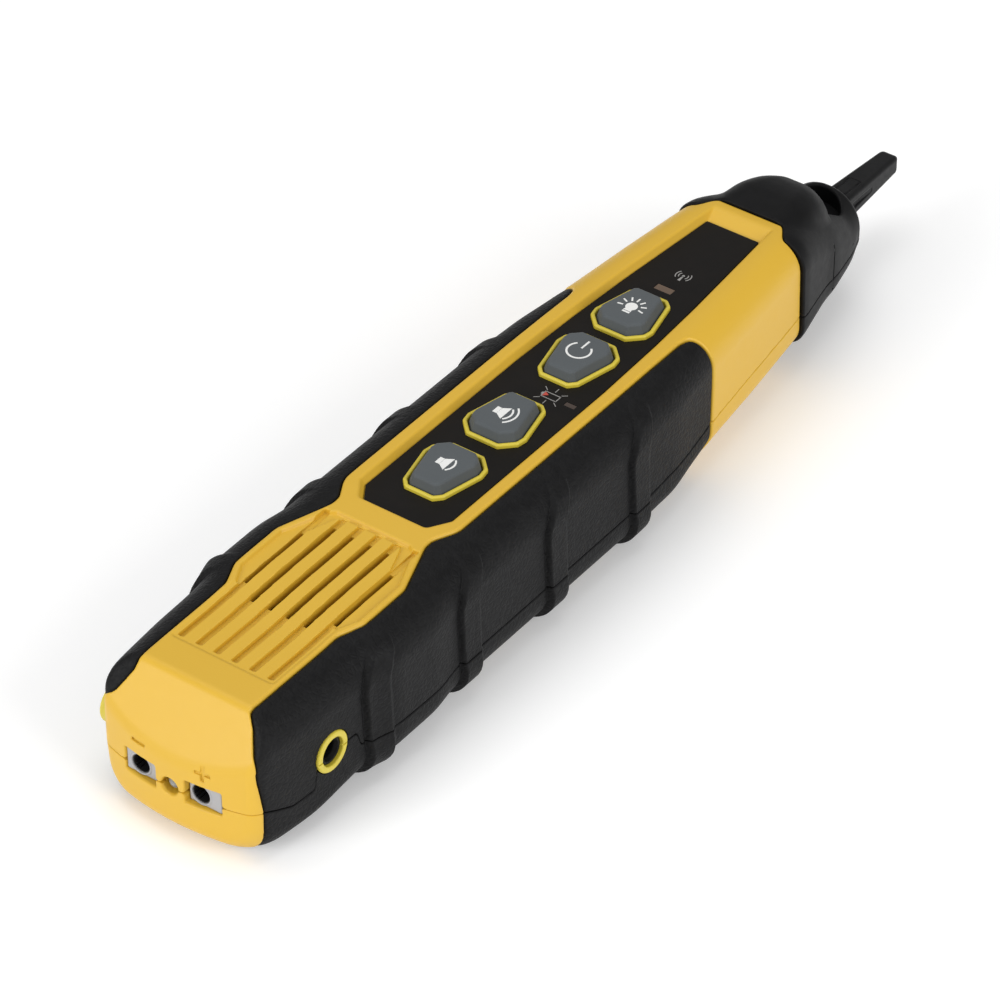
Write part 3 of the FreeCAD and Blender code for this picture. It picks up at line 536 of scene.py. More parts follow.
def key(X, Y, Z, half):
    p = both(half)
    yc = f32((half[0][0] + half[-1][0]) * 0.5)
    off = RIM_W + KEY_GAP
    o = rpoly(X, Y, p, 0.55, off)
    draft = np.clip(Z - f32(0.2), 0, 4)
    crown = f32(0.0027) * ((Y - yc) ** 2 + X * X)
    d = rmax((o + draft * f32(0.33)) * f32(0.95), Z - f32(KEY_TOP) + crown, 0.5)
    d = np.maximum(d, f32(-2.7) - Z)
    neck = np.maximum(o + f32(0.4), slab(Z, -2.9, -2.5))
    flange = np.maximum(rpoly(X, Y, p, 0.6, RIM_W - 0.9), slab(Z, -3.9, -2.85))
    return np.minimum(np.minimum(d, neck), flange)


def door(X, Y, Z):
    b = body(X, Y, Z)
    plan = box2(X, Y - f32(93.0), 13.85, 30.85, 0.5)
    d = rmax(b + f32(0.05), plan, 0.35)
    d = np.maximum(d, Z + f32(28.6))
    pad = np.maximum(box2(X, Y - f32(89.0), 9.0, 21.0, 0.6), slab(Z, -28.8, -27.9))
    d = np.minimum(d, pad)
    for k in range(5):
        yk = 68.6 + 2.4 * k
        g = np.maximum(box2(X, Y - f32(yk), 8.0, 0.6, 0.5), Z + f32(30.0))
        d = rmax(d, -g, 0.25)
    rr = np.sqrt(X * X + (Y - f32(SCREW_Y)) ** 2)
    d = rmax(d, -np.maximum(rr - f32(2.4), Z + f32(29.65)), 0.2)
    return np.maximum(d, -(rr - f32(1.25)))


BORE = {-1: -7.7, 1: 6.3}


def socket(X, Y, Z, sx):
    d = box2(X - f32(7.3 * sx), Z - f32(SZ), 3.7, 2.5, 0.25)
    d = rmax(d, slab(Y, -6.95, 5.9), 0.2)
    rr = np.sqrt((X - f32(BORE[sx])) ** 2 + (Z - f32(SZ)) ** 2)
    lip = rmax(rr - f32(2.5), slab(Y, -7.15, -6.0), 0.15)
    d = rmin(d, lip, 0.15)
    bore = np.maximum(rr - f32(2.06), Y - f32(4.5))
    return rmax(d, -bore, 0.22)


def shade_liner(X, Y, Z, sx):
    """black sleeve lining a socket bore; painted shade, it darkens the bore where only shade falls"""
    rr = np.sqrt((X - f32(BORE[sx])) ** 2 + (Z - f32(SZ)) ** 2)
    d = np.maximum(rr - f32(2.04), slab(Y, -6.85, 4.45))
    return rmax(d, -np.maximum(rr - f32(1.85), Y - f32(3.9)), 0.08)


def lamp(X, Y, Z):
    r = np.sqrt(X * X + (Z - f32(LAMP_Z)) ** 2)
    d = np.maximum(r - f32(2.5), slab(Y, 190.1, 194.0))
    dome = np.sqrt(X * X + (Z - f32(LAMP_Z)) ** 2 + (Y - f32(194.0)) ** 2) - f32(2.5)
    fl = rmax(r - f32(2.9), slab(Y, 189.9, 190.8), 0.15)
    return np.minimum(np.minimum(d, dome), fl)


def rear_lamp(X, Y, Z):
    r = np.sqrt(X * X + (Z + f32(19.1)) ** 2)
    d = np.maximum(r - f32(1.5), slab(Y, -6.1, 1.1))
    dome = np.sqrt(X * X + (Z + f32(19.1)) ** 2 + (Y + f32(6.1)) ** 2) - f32(1.5)
    return np.minimum(d, dome)


# ------------------------------------------------------------------ surface nets
def nets(F, lines):
    """quad mesh of the zero level of F, sampled where the three sets of grid lines cross"""
    S = F < 0
    nx, ny, nz = F.shape
    cnt = np.zeros((nx - 1, ny - 1, nz - 1), np.int8)
    for i in (0, 1):
        for j in (0, 1):
            for k in (0, 1):
                cnt += S[i:nx - 1 + i, j:ny - 1 + j, k:nz - 1 + k]
    act = (cnt > 0) & (cnt < 8)
    ci = np.argwhere(act)
    idx = np.full(act.shape, -1, np.int64)
    idx[act] = np.arange(len(ci))
    corner = [(i, j, k) for i in (0, 1) for j in (0, 1) for k in (0, 1)]
    vals = {c: F[ci[:, 0] + c[0], ci[:, 1] + c[1], ci[:, 2] + c[2]].astype(np.float64) for c in corner}
    acc = np.zeros((len(ci), 3))
    num = np.zeros(len(ci))
    for c in corner:
        for ax in range(3):
            if c[ax] == 1:
                continue
            e = list(c)
            e[ax] = 1
            a, b = vals[c], vals[tuple(e)]
            m = (a < 0) != (b < 0)
            t = np.where(m, a / np.where(m, a - b, 1.0), 0.0)
            p = np.zeros((len(ci), 3))
            p[:] = c
            p[:, ax] = t
            acc += p * m[:, None]
            num += m
    at = ci + acc / num[:, None]
    verts = np.stack([np.interp(at[:, k], np.arange(len(lines[k])), lines[k]) for k in range(3)], 1)
    quads = []
    for ax in range(3):
        o1, o2 = (ax + 1) % 3, (ax + 2) % 3
        sl0 = [slice(None)] * 3
        sl1 = [slice(None)] * 3
        sl0[ax], sl1[ax] = slice(0, -1), slice(1, None)
        cross = S[tuple(sl0)] != S[tuple(sl1)]
        e = np.argwhere(cross)
        ok = (e[:, o1] > 0) & (e[:, o2] > 0) & (e[:, o1] < F.shape[o1] - 1) & (e[:, o2] < F.shape[o2] - 1)
        e = e[ok]
        q = []
        for d1, d2 in ((-1, -1), (0, -1), (0, 0), (-1, 0)):
            c = e.copy()
            c[:, o1] += d1
            c[:, o2] += d2
            q.append(idx[c[:, 0], c[:, 1], c[:, 2]])
        q = np.stack(q, 1)
        inside0 = S[e[:, 0], e[:, 1], e[:, 2]]
        q[~inside0] = q[~inside0][:, ::-1]
        quads.append(q)
    return verts, np.concatenate(quads)


def evaluate(fn, P):
    out = np.empty(len(P), np.float64)
    for a in range(0, len(P), 200000):
        Q = P[a:a + 200000].astype(f32)
        out[a:a + 200000] = fn(Q[:, 0], Q[:, 1], Q[:, 2])
    return out


def gradient(fn, P, e=0.06):
    g = np.empty_like(P)
    for ax in range(3):
        d = np.zeros(3)
        d[ax] = e
        g[:, ax] = (evaluate(fn, P + d) - evaluate(fn, P - d)) / (2 * e)
    return g


def grid_line(lo, hi, h, bands):
    """coordinates from lo to hi a step h apart, or closer inside the bands (start, end, step)"""
    c = [lo - 2 * h]
    while c[-1] < hi + 2 * h:
        c.append(c[-1] + min([h] + [b[2] for b in bands if b[0] <= c[-1] < b[1]]))
    return np.array(c)


def sculpt(name, fn, lo, hi, h=None, ratio=1.0, fine=((), (), ())):
    """solid from a distance function, as a clean closed mesh with exact normals"""
    h = h or H
    lines = [grid_line(lo[k], hi[k], h, fine[k]) for k in range(3)]
    n = [len(c) for c in lines]
    xs = lines[0].astype(f32)[:, None, None]
    ys = lines[1].astype(f32)[None, :, None]
    zs = lines[2].astype(f32)[None, None, :]
    F = np.empty(tuple(n), f32)
    for a in range(0, n[1], 24):
        F[:, a:a + 24, :] = fn(xs, ys[:, a:a + 24, :], zs)
    v, q = nets(F, lines)
    del F
    for _ in range(2):
        val = evaluate(fn, v)
        g = gradient(fn, v)
        n2 = np.maximum((g * g).sum(1), 0.2)
        step = -val[:, None] * g / n2[:, None]
        ln = np.linalg.norm(step, axis=1)
        lim = 0.3 * h
        step *= np.minimum(1.0, lim / np.maximum(ln, 1e-9))[:, None]
        v = v + step
    me = bpy.data.meshes.new(name)
    me.vertices.add(len(v))
    me.vertices.foreach_set("co", ((v + ORG) / 1000.0).astype(f32).ravel())
    me.loops.add(q.size)
    me.loops.foreach_set("vertex_index", q.astype(np.int32).ravel())
    me.polygons.add(len(q))
    me.polygons.foreach_set("loop_start", np.arange(0, q.size, 4, dtype=np.int32))
    me.update(calc_edges=True)
    me.validate()
    ob = bpy.data.objects.new(name, me)
    bpy.context.collection.objects.link(ob)
    if ratio < 1.0:
        md = ob.modifiers.new("reduce", "DECIMATE")
        md.ratio = ratio
        dg = bpy.context.evaluated_depsgraph_get()
        me2 = bpy.data.meshes.new_from_object(ob.evaluated_get(dg))
        ob.modifiers.clear()
        ob.data = me2
        bpy.data.meshes.remove(me)
        me = me2
        me.name = name
    co = np.empty(len(me.vertices) * 3, f32)
    me.vertices.foreach_get("co", co)
    P = co.reshape(-1, 3).astype(np.float64) * 1000.0 - ORG
    g = gradient(fn, P)
    ln = np.linalg.norm(g, axis=1)
    ok = ln > 0.2
    nr = g / np.maximum(ln, 1e-9)[:, None]
    vn = np.empty(len(me.vertices) * 3, f32)
    me.vertices.foreach_get("normal", vn)
    vn = vn.reshape(-1, 3)
    bad = (~ok) | ((nr * vn).sum(1) < 0.3)
    nr[bad] = vn[bad]
    me.polygons.foreach_set("use_smooth", np.ones(len(me.polygons), bool))
    me.normals_split_custom_set_from_vertices([tuple(float(c) for c in k) for k in nr])
    print("sculpt", name, len(me.vertices), "verts")
    return ob


# ------------------------------------------------------------------ materials
def mat(name, base, rough=0.5, metallic=0.0, spec=0.5, bump=(), tint=(), coat=0.0, sheen=0.0, transmission=0.0, ior=1.5,
        rough_var=None, emission=None, alpha=None, speckle=None):
    """moulded or coated finish. bump: (scale, strength, distance, kind, detail) layers; tint: (scale, amount, colour)"""
    m = bpy.data.materials.new(name)
    m.use_nodes = True
    nt = m.node_tree
    nt.nodes.clear()
    N, L = nt.nodes.new, nt.links.new
    out = N("ShaderNodeOutputMaterial")
    bs = N("ShaderNodeBsdfPrincipled")
    L(bs.outputs[0], out.inputs[0])
    co = N("ShaderNodeTexCoord")
    mp = N("ShaderNodeMapping")
    L(co.outputs["Object"], mp.inputs[0])
    mp.inputs["Scale"].default_value = (1000.0, 1000.0, 1000.0)     # millimetres
    bs.inputs["Metallic"].default_value = metallic
    bs.inputs["IOR"].default_value = ior
    bs.inputs["Specular IOR Level"].default_value = spec
    bs.inputs["Coat Weight"].default_value = coat
    bs.inputs["Sheen Weight"].default_value = sheen
    bs.inputs["Transmission Weight"].default_value = transmission
    rgb = N("ShaderNodeRGB")
    rgb.outputs[0].default_value = (*base, 1.0)
    col = rgb.outputs[0]
    for sc, amt, c2 in tint:
        nz = N("ShaderNodeTexNoise")
        nz.inputs["Scale"].default_value = sc
        nz.inputs["Detail"].default_value = 3.0
        L(mp.outputs[0], nz.inputs["Vector"])
        rp = N("ShaderNodeMapRange")
        rp.inputs["From Min"].default_value, rp.inputs["From Max"].default_value = 0.35, 0.65
        rp.inputs["To Max"].default_value = amt
        L(nz.outputs["Fac"], rp.inputs["Value"])
        mx = N("ShaderNodeMix")
        mx.data_type = "RGBA"
        L(rp.outputs[0], mx.inputs["Factor"])
        L(col, mx.inputs[6])
        mx.inputs[7].default_value = (*c2, 1.0)
        col = mx.outputs[2]
    L(col, bs.inputs["Base Color"])
    if rough_var:
        sc, amt = rough_var
        nz = N("ShaderNodeTexNoise")
        nz.inputs["Scale"].default_value = sc
        L(mp.outputs[0], nz.inputs["Vector"])
        rp = N("ShaderNodeMapRange")
        rp.inputs["To Min"].default_value, rp.inputs["To Max"].default_value = rough - amt, rough + amt
        L(nz.outputs["Fac"], rp.inputs["Value"])
        L(rp.outputs[0], bs.inputs["Roughness"])
    else:
        bs.inputs["Roughness"].default_value = rough
    prev = None
    for sc, strength, dist, kind, detail in bump:
        if kind == "voronoi":
            tx = N("ShaderNodeTexVoronoi")
            tx.feature = "DISTANCE_TO_EDGE"
            tx.inputs["Scale"].default_value = sc
            wob = N("ShaderNodeTexNoise")
            wob.inputs["Scale"].default_value = sc * 0.8
            L(mp.outputs[0], wob.inputs["Vector"])
            add = N("ShaderNodeVectorMath")
            add.operation = "MULTIPLY_ADD"
            L(wob.outputs["Color"], add.inputs[0])
            add.inputs[1].default_value = (detail, detail, detail)
            L(mp.outputs[0], add.inputs[2])
            L(add.outputs[0], tx.inputs["Vector"])
            rp = N("ShaderNodeMapRange")
            rp.inputs["From Max"].default_value = 0.22
            L(tx.outputs["Distance"], rp.inputs["Value"])
            hgt = rp.outputs[0]
        else:
            tx = N("ShaderNodeTexNoise")
            tx.inputs["Scale"].default_value = sc
            tx.inputs["Detail"].default_value = detail
            L(mp.outputs[0], tx.inputs["Vector"])
            hgt = tx.outputs["Fac"]
        bp = N("ShaderNodeBump")
        bp.inputs["Strength"].default_value = strength
        bp.inputs["Distance"].default_value = dist / 1000.0
        L(hgt, bp.inputs["Height"])
        if prev is not None:
            L(prev, bp.inputs["Normal"])
        prev = bp.outputs[0]
    if prev is not None:
        L(prev, bs.inputs["Normal"])
    if emission:
        bs.inputs["Emission Color"].default_value = (*emission[0], 1.0)
        bs.inputs["Emission Strength"].default_value = emission[1]
    return m


YELLOW = mat("yellow_plastic", (0.66, 0.400, 0.030), 0.42, spec=0.45,
             bump=((2.6, 0.22, 0.05, "noise", 3.0), (7.0, 0.15, 0.02, "noise", 2.0)),
             tint=((0.05, 0.10, (0.70, 0.43, 0.042)),), rough_var=(0.6, 0.05))
RIM = mat("yellow_rim_plastic", (0.62, 0.50, 0.045), 0.38, spec=0.45, bump=((3.0, 0.12, 0.03, "noise", 2.0),),
          tint=((0.15, 0.12, (0.66, 0.54, 0.06)),), rough_var=(0.8, 0.05))
GRIP = mat("grip_rubber", (0.005, 0.005, 0.0053), 0.54, spec=0.14,
           bump=((0.85, 0.55, 0.10, "voronoi", 0.55), (4.5, 0.28, 0.04, "noise", 3.0)),
           tint=((0.6, 0.35, (0.013, 0.013, 0.0135)),), rough_var=(0.9, 0.08))
NOSE = mat("nose_plastic", (0.0045, 0.0045, 0.0048), 0.48, spec=0.12,
           bump=((3.2, 0.22, 0.05, "noise", 3.0),), tint=((0.4, 0.3, (0.009, 0.009, 0.0095)),), rough_var=(0.7, 0.06))
TIP = mat("conductive_plastic", (0.0055, 0.0055, 0.006), 0.44, spec=0.18, bump=((1.4, 0.2, 0.05, "noise", 3.0),),
          tint=((0.5, 0.3, (0.016, 0.016, 0.0165)),), rough_var=(0.8, 0.08))
JACKP = mat("jack_moulding", (0.005, 0.005, 0.005), 0.5, spec=0.15, bump=((3.0, 0.15, 0.03, "noise", 2.0),), tint=((0.4, 0.3, (0.008, 0.008, 0.008)),))
LABEL_M = mat("label_film", (0.0045, 0.0036, 0.003), 0.46, spec=0.15, bump=((6.0, 0.10, 0.015, "noise", 2.0),),
              tint=((0.3, 0.3, (0.009, 0.0065, 0.005)),), rough_var=(0.5, 0.04))
KEY_M = mat("key_rubber", (0.078, 0.088, 0.094), 0.60, spec=0.25, bump=((4.0, 0.25, 0.04, "noise", 3.0),),
            tint=((0.25, 0.25, (0.090, 0.100, 0.106)),), rough_var=(0.8, 0.06), sheen=0.1)
PRINT = mat("white_print", (0.80, 0.80, 0.78), 0.55, bump=((5.0, 0.1, 0.01, "noise", 2.0),), tint=((0.6, 0.15, (0.70, 0.70, 0.69)),))
PRINT_GREY = mat("grey_print", (0.30, 0.29, 0.28), 0.55, bump=((5.0, 0.1, 0.01, "noise", 2.0),), tint=((0.6, 0.15, (0.24, 0.23, 0.22)),))
PRINT_RED = mat("red_print", (0.50, 0.06, 0.04), 0.5, bump=((5.0, 0.1, 0.01, "noise", 2.0),), tint=((0.6, 0.15, (0.42, 0.05, 0.03)),))
STEEL = mat("zinc_steel", (0.55, 0.55, 0.54), 0.32, metallic=1.0, bump=((3.0, 0.12, 0.02, "noise", 3.0),), rough_var=(1.2, 0.08))
BRASS = mat("brass", (0.72, 0.52, 0.22), 0.3, metallic=1.0, bump=((3.0, 0.10, 0.02, "noise", 3.0),), rough_var=(1.0, 0.06))
SOCKET = mat("grey_moulding", (0.36, 0.36, 0.37), 0.42, spec=0.5, bump=((3.0, 0.15, 0.03, "noise", 2.0),), tint=((0.4, 0.2, (0.42, 0.42, 0.43)),))
BLACKP = mat("black_moulding", (0.012, 0.012, 0.012), 0.4, spec=0.5, bump=((3.0, 0.15, 0.03, "noise", 2.0),), tint=((0.4, 0.3, (0.018, 0.018, 0.018)),))
WINDOW = mat("smoked_window", (0.115, 0.072, 0.045), 0.22, spec=0.5, coat=0.3, bump=((1.5, 0.08, 0.02, "noise", 2.0),), tint=((0.9, 0.3, (0.14, 0.09, 0.06)),))
WINDOW2 = mat("dark_window", (0.050, 0.031, 0.022), 0.22, spec=0.5, coat=0.3, bump=((1.5, 0.08, 0.02, "noise", 2.0),), tint=((0.9, 0.3, (0.06, 0.04, 0.03)),))
CLEAR = mat("clear_lens", (0.92, 0.93, 0.92), 0.06, spec=0.5, transmission=0.75, ior=1.49, tint=((0.8, 0.1, (0.85, 0.86, 0.85)),),
            bump=((0.8, 0.05, 0.02, "noise", 2.0),))
CLOTH = mat("speaker_cloth", (0.018, 0.014, 0.010), 0.9, spec=0.2, bump=((9.0, 0.6, 0.06, "noise", 1.0),), tint=((3.0, 0.3, (0.03, 0.024, 0.018)),))
PCB = mat("board_green", (0.012, 0.11, 0.035), 0.35, spec=0.5, bump=((1.2, 0.15, 0.04, "noise", 4.0),), tint=((0.8, 0.3, (0.02, 0.15, 0.05)),))
PAPER = mat("cone_paper", (0.03, 0.03, 0.03), 0.85, bump=((4.0, 0.4, 0.05, "noise", 3.0),), tint=((1.0, 0.3, (0.05, 0.05, 0.05)),))
MAGNET = mat("magnet_grey", (0.10, 0.10, 0.105), 0.5, metallic=0.4, bump=((3.0, 0.2, 0.03, "noise", 3.0),), tint=((0.8, 0.3, (0.14, 0.14, 0.14)),))
SILICONE = mat("silicone_mat", (0.32, 0.33, 0.34), 0.55, bump=((3.0, 0.2, 0.03, "noise", 2.0),), tint=((0.5, 0.2, (0.38, 0.39, 0.40)),))
FOAM = mat("foam", (0.05, 0.05, 0.052), 0.95, spec=0.2, bump=((1.6, 0.9, 0.2, "voronoi", 0.3),), tint=((1.0, 0.4, (0.08, 0.08, 0.08)),))
BATTERY = mat("battery_jacket", (0.045, 0.047, 0.052), 0.3, metallic=0.5, bump=((0.6, 0.1, 0.05, "noise", 2.0),), tint=((0.08, 0.5, (0.10, 0.10, 0.11)),))
WIRE_R = mat("red_wire", (0.45, 0.02, 0.015), 0.4, bump=((3.0, 0.15, 0.02, "noise", 2.0),), tint=((0.6, 0.2, (0.5, 0.05, 0.03)),))
WIRE_K = mat("black_wire", (0.012, 0.012, 0.012), 0.4, bump=((3.0, 0.15, 0.02, "noise", 2.0),), tint=((0.6, 0.2, (0.02, 0.02, 0.02)),))

FINISH = {
    "housing_screws": STEEL, "battery_door_screw": STEEL, "board_screws": STEEL, "tip_contact": STEEL, "speaker_yoke": STEEL,
    "battery_9v": BATTERY, "battery_snap": BLACKP, "battery_lead_red": WIRE_R, "battery_lead_black": WIRE_K,
    "battery_foam": FOAM, "label_panel": LABEL_M, "keypad_mat": SILICONE, "tact_switches": BLACKP, "main_board": PCB,
    "board_components": BLACKP, "signal_led": CLEAR, "battery_low_led": CLEAR, "signal_window": WINDOW,
    "battery_low_window": WINDOW2, "grille_cloth": CLOTH, "speaker_frame": BLACKP, "speaker_cone": PAPER,
    "speaker_magnet": MAGNET, "jack_contact": BRASS, "socket_terminals": BRASS, "socket_board": PCB,
    "tip_insert": BRASS, "work_light_holder": BLACKP, "work_light_board": PCB,
}


def dress(ob, m):
    ob.data.materials.clear()
    ob.data.materials.append(m)


for nm, m in FINISH.items():
    ob = NODES[nm]
    if len(ob.data.materials) == 0:
        ob.data.materials.append(m)
    for i in range(len(ob.data.materials)):
        ob.data.materials[i] = m

# ------------------------------------------------------------------ pieces
R = 0.5


def piece(name, fn, lo, hi, m, node, body="body", h=None, ratio=None, fine=((), (), ())):
    ob = sculpt(name, fn, lo, hi, h=h, ratio=R if ratio is None else ratio, fine=fine)
    dress(ob, m)
    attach(ob, body)
    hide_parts(node)
    return ob


K = 1.0
piece("upper_housing_shell", upper_housing, (-22.5, -9, -22), (22.5, 180, 2), YELLOW, "upper_housing",
      fine=(((-14.5, 14.5, 0.27 * K),), ((-9.6, -4.5, 0.2 * K), (-4.5, 60, 0.3 * K)), ((-21.8, -18.0, 0.25 * K), (-14.8, -10.8, 0.22 * K), (-2.2, 1.6, 0.17 * K))))
piece("lower_housing_shell", lower_housing, (-22.5, -9, -31), (22.5, 178, -16.2), YELLOW, "lower_housing",
      fine=(((-12, 12, 0.3 * K),), ((-9.6, -4.5, 0.2 * K),), ((-21.8, -18.0, 0.2 * K),)))
piece("grip_right_skin", lambda X, Y, Z: grip(X, Y, Z, "upper"), (9, -6.0, -22), (24, 140, 3), GRIP, "grip_right_upper",
      fine=((), (), ((-22, -16, 0.26 * K),)))
piece("grip_left_skin", lambda X, Y, Z: grip(X, Y, Z, "upper"), (-24, -6.0, -22), (-9, 140, 3), GRIP, "grip_left_upper")
piece("grip_lower_skin", lambda X, Y, Z: grip(X, Y, Z, "lower"), (-24, -5.5, -32.5), (24, 140, -16), GRIP, "grip_lower")
piece("nose_upper_shell", lambda X, Y, Z: nose(X, Y, Z, "upper"), (-16.5, 172.5, -21), (16.5, 209, 2.5), NOSE, "nose_upper", h=0.28 * K)
piece("nose_lower_shell", lambda X, Y, Z: nose(X, Y, Z, "lower"), (-16.5, 172.5, -27), (16.5, 209, -16.2), NOSE, "nose_lower")
piece("tip_moulding", tip, (-3.6, 193, -19.6), (3.6, 232.5, -12.4), TIP, "probe_tip", h=min(H, 0.25), ratio=0.7)
piece("jack_ring_moulding", jack_ring, (16.8, 9.5, -20.9), (20.7, 18.7, -11.7), RIM, "jack_ring", h=0.16, ratio=0.7)
piece("jack_barrel", jack_body, (4.5, 10.3, -19.5), (20.2, 17.9, -13.1), JACKP, "jack_body", h=0.2, ratio=0.7)
piece("strap_eyelet_moulding", eyelet, (-23.0, -1.1, -22.7), (-15.4, 8.0, -13.7), RIM, "strap_eyelet", h=0.22, ratio=0.7)
piece("rim_frame", rims, (-9.6, 64, -2.9), (9.6, 147, 1.0), RIM, "button_rims", h=0.2, ratio=0.8)
for kn, half in KEYS.items():
    piece(kn + "_cap", (lambda hf: lambda X, Y, Z: key(X, Y, Z, hf))(half), (-7.6, half[0][0] - 0.6, -4.0), (7.6, half[-1][0] + 0.6, 2.8),
          KEY_M, kn, body=kn, h=0.2, ratio=0.8)
piece("battery_door_shell", door, (-14.2, 61.8, -31.2), (14.2, 124.2, -27.6), YELLOW, "battery_door", body="battery_door")
piece("negative_socket_block", lambda X, Y, Z: socket(X, Y, Z, -1), (-11.2, -7.4, -21.4), (-3.4, 6.1, -16.0), SOCKET, "negative_socket", h=0.22, ratio=0.6)
# the black sleeves in the socket bores are painted shade that darkens the holes
for sx, nm in ((-1, "negative"), (1, "positive")):
    ob = sculpt(nm + "_socket_shade_sleeve", (lambda q: lambda X, Y, Z: shade_liner(X, Y, Z, q))(sx), (BORE[sx] - 2.1, -7.0, SZ - 2.1), (BORE[sx] + 2.1, 4.5, SZ + 2.1), h=0.2)
    dress(ob, BLACKP)
    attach(ob, "body")
piece("positive_socket_block", lambda X, Y, Z: socket(X, Y, Z, 1), (3.4, -7.4, -21.4), (11.2, 6.1, -16.0), SOCKET, "positive_socket", h=0.22, ratio=0.6)
piece("work_light_lens", lamp, (-3.1, 189.7, -11.4), (3.1, 196.7, -5.2), CLEAR, "work_light_led", h=0.22, ratio=0.7)
piece("polarity_lens", rear_lamp, (-1.7, -7.9, -20.8), (1.7, 1.4, -17.4), CLEAR, "polarity_led", h=0.16, ratio=0.7)


# ------------------------------------------------------------------ printed symbols
def decal(name, shapes, z, m, body, thick=0.03, zf=None):
    """flat printed shapes raised by thick from level z. A shape is an outline, or a band as a pair of edge lines"""
    bm = bmesh.new()
    for sh in shapes:
        if isinstance(sh, tuple):
            cells = [[sh[0][k], sh[0][k + 1], sh[1][k + 1], sh[1][k]] for k in range(len(sh[0]) - 1)]
            ring = list(sh[0]) + list(sh[1])[::-1]
        else:
            cells, ring = [sh], sh
        lv = {p: bm.verts.new(M(p[0], p[1], (zf(*p) if zf else z) - 0.02)) for p in ring}
        hv = {p: bm.verts.new(M(p[0], p[1], (zf(*p) if zf else z) + thick)) for p in ring}
        area = sum(ring[k - 1][0] * ring[k][1] - ring[k][0] * ring[k - 1][1] for k in range(len(ring)))
        for c in cells:
            a = sum(c[k - 1][0] * c[k][1] - c[k][0] * c[k - 1][1] for k in range(len(c)))
            if a < 0:
                c = c[::-1]
            bm.faces.new([hv[p] for p in c])
            bm.faces.new([lv[p] for p in c[::-1]])
        if area < 0:
            ring = ring[::-1]
        n = len(ring)
        for k in range(n):
            p, q = ring[k], ring[(k + 1) % n]
            bm.faces.new((lv[p], lv[q], hv[q], hv[p]))
    me = bpy.data.meshes.new(name)
    bm.to_mesh(me)
    bm.free()
    ob = bpy.data.objects.new(name, me)
    bpy.context.collection.objects.link(ob)
    dress(ob, m)
    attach(ob, body)
    return ob


def arc_band(cx, cy, r, a0, a1, w, n=20):
    """band of width w along an arc; angle 0 points to the tip, 90 to the right side"""
    o, i_ = [], []
    for k in range(n + 1):
        a = math.radians(a0 + (a1 - a0) * k / n)
        o.append((cx + (r + w / 2) * math.sin(a), cy + (r + w / 2) * math.cos(a)))
        i_.append((cx + (r - w / 2) * math.sin(a), cy + (r - w / 2) * math.cos(a)))
    return (o, i_)


def bar(x0, y0, x1, y1, w):
    l = math.hypot(x1 - x0, y1 - y0)
    nx, ny = -(y1 - y0) / l * w / 2, (x1 - x0) / l * w / 2
    return [(x0 + nx, y0 + ny), (x1 + nx, y1 + ny), (x1 - nx, y1 - ny), (x0 - nx, y0 - ny)]


def disc(cx, cy, r, n=28):
    return [(cx + r * math.sin(2 * math.pi * k / n), cy + r * math.cos(2 * math.pi * k / n)) for k in range(n)]


def key_face(kn):
    half = KEYS[kn]
    yc = (half[0][0] + half[-1][0]) * 0.5
    return lambda x, y: KEY_TOP - 0.0027 * ((y - yc) ** 2 + x * x)


def cone_icon(cx, cy, waves):
    s = [[(cx - 1.55, cy - 0.95), (cx - 1.55, cy + 0.95), (cx - 0.55, cy + 0.95), (cx - 0.55, cy - 0.95)],
         [(cx - 0.50, cy - 0.95), (cx - 0.50, cy + 0.95), (cx + 1.05, cy + 1.95), (cx + 1.05, cy - 1.95)]]
    for k in range(waves):
        r = 2.35 + 1.0 * k
        s.append(arc_band(cx - 0.3 + 0.1 * k, cy, r + 0.1, 90 - 46 - 4 * k, 90 + 46 + 4 * k, 0.38))
    return s


SH = 0.35
decal("volume_down_symbol", cone_icon(0.1, 74.85, 1), 0, PRINT, "volume_down_button", zf=key_face("volume_down_button"))
decal("volume_up_symbol", cone_icon(-0.45, 93.9, 2), 0, PRINT, "volume_up_button", zf=key_face("volume_up_button"))
decal("power_symbol", [arc_band(0.15, 118.45, 2.45, 42, 318, 0.42, 40), bar(0.15, 119.3, 0.15, 122.0, 0.42)], 0, PRINT,
      "power_button", zf=key_face("power_button"))
rays = [disc(0.15, 136.2, 1.25), [(-0.7, 134.0), (1.0, 134.0), (1.0, 134.45), (-0.7, 134.45)],
        [(-0.75, 134.62), (1.05, 134.62), (0.9, 135.15), (-0.6, 135.15)]]
for a in (-100, -64, -31, 0, 31, 64, 100):
    ca, sa = math.cos(math.radians(a)), math.sin(math.radians(a))
    rays.append(bar(0.15 + 1.85 * sa, 136.2 + 1.85 * ca, 0.15 + 3.05 * sa, 136.2 + 3.05 * ca, 0.36))
decal("work_light_symbol", rays, 0, PRINT, "light_button", zf=key_face("light_button"))
# battery with rays and the low level mark, and the signal mast, on the label
bx, by = 2.3, 106.1
batt = [bar(bx - 1.75, by - 0.85, bx + 1.75, by - 0.85, 0.18), bar(bx - 1.75, by + 0.85, bx + 1.75, by + 0.85, 0.18),
        bar(bx - 1.75, by - 0.94, bx - 1.75, by + 0.94, 0.18), bar(bx + 1.75, by - 0.94, bx + 1.75, by + 0.94, 0.18),
        bar(bx - 2.0, by - 0.35, bx - 2.0, by + 0.35, 0.3)]
for a in (-52, 0, 52, 128, 180, 232):
    ca, sa = math.cos(math.radians(a)), math.sin(math.radians(a))
    k = 1.5 if a in (0, 180) else 2.1
    batt.append(bar(bx + k * sa, by + k * ca, bx + (k + 1.25) * sa, by + (k + 1.25) * ca, 0.16))
decal("low_battery_symbol", batt, 0.0, PRINT_GREY, "body")
decal("low_battery_mark", [[(bx - 1.6, by - 0.7), (bx - 1.6, by + 0.7), (bx - 0.55, by + 0.1)]], 0.0, PRINT_RED, "body")
ax_, ay_ = 0.6, 153.3
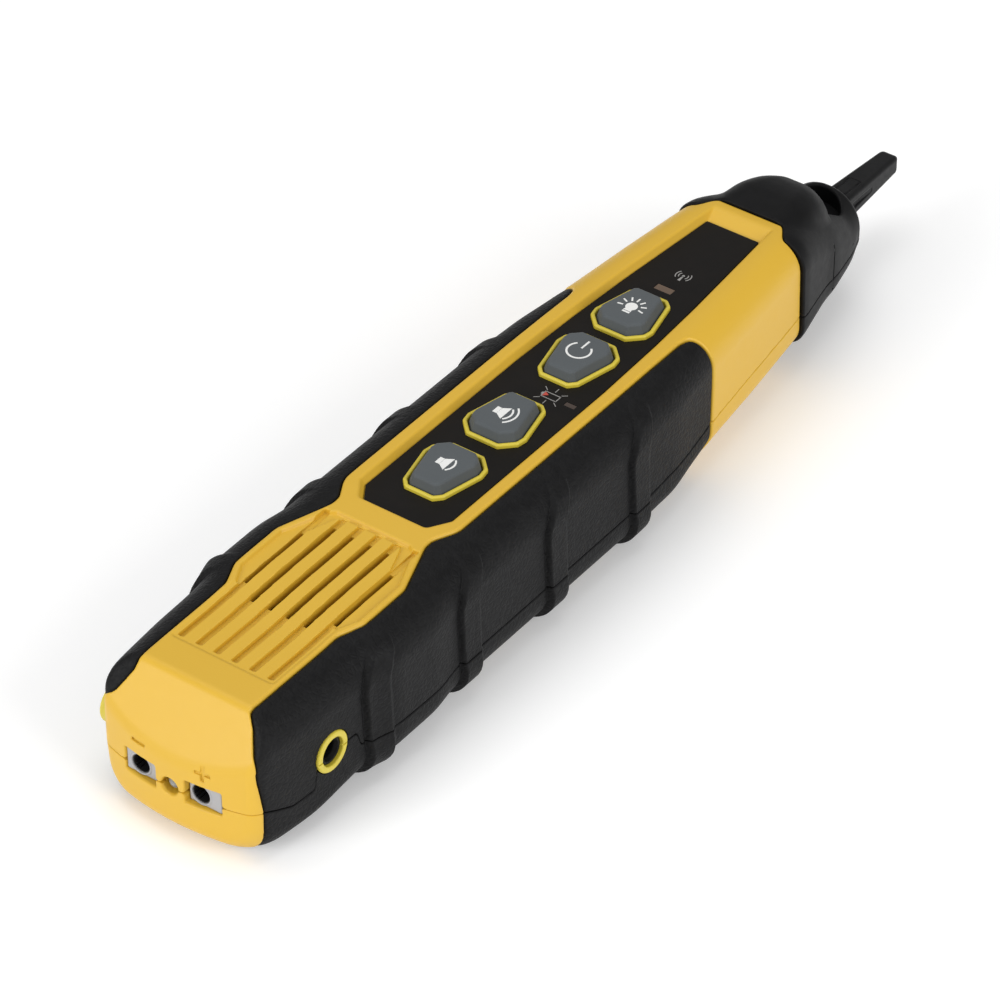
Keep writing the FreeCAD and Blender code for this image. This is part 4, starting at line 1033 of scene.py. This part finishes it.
mast = [disc(ax_, ay_ + 0.3, 0.3), [(ax_ - 0.12, ay_ + 0.2), (ax_ + 0.12, ay_ + 0.2), (ax_ + 0.3, ay_ - 1.5), (ax_ - 0.3, ay_ - 1.5)]]
for r in (1.0, 1.65):
    mast.append(arc_band(ax_, ay_ + 0.3, r, 48, 132, 0.2))
    mast.append(arc_band(ax_, ay_ + 0.3, r, 228, 312, 0.2))
decal("signal_symbol", mast, 0.0, PRINT_GREY, "body")

# ------------------------------------------------------------------ floor and light
def plane(name, size, z):
    me = bpy.data.meshes.new(name)
    s = size / 2
    me.from_pydata([(-s, -s, z), (s, -s, z), (s, s, z), (-s, s, z)], [], [(0, 1, 2, 3)])
    ob = bpy.data.objects.new(name, me)
    bpy.context.collection.objects.link(ob)
    return ob


floor = plane("floor", 12.0, 0.0)
fm = mat("pale_floor", (0.93, 0.93, 0.93), 0.8, spec=0.1, tint=((0.01, 0.05, (0.95, 0.95, 0.95)),), emission=((1.0, 1.0, 1.0), 0.16))
dress(floor, fm)

world = bpy.data.worlds.new("studio")
bpy.context.scene.world = world
world.use_nodes = True
world.node_tree.nodes["Background"].inputs[0].default_value = (1.0, 1.0, 1.0, 1.0)
world.node_tree.nodes["Background"].inputs[1].default_value = 0.42


def area(name, loc, target, size, power, size_y=None):
    ld = bpy.data.lights.new(name, "AREA")
    ld.energy = power
    ld.size = size
    if size_y:
        ld.shape = "RECTANGLE"
        ld.size_y = size_y
    ob = bpy.data.objects.new(name, ld)
    bpy.context.collection.objects.link(ob)
    ob.location = loc
    ob.rotation_euler = (Vector(target) - Vector(loc)).to_track_quat("-Z", "Y").to_euler()
    return ob


area("rear_light", (-0.35, -1.35, 0.62), (0, -0.06, 0.01), 0.7, 11.0)
area("right_light", (1.35, -0.15, 0.70), (0, 0, 0.01), 0.9, 11.0)
area("top_light", (-0.25, 0.15, 1.5), (0, 0, 0), 1.2, 7.0)

vs = bpy.context.scene.view_settings
vs.view_transform = "Standard"
vs.look = "None"
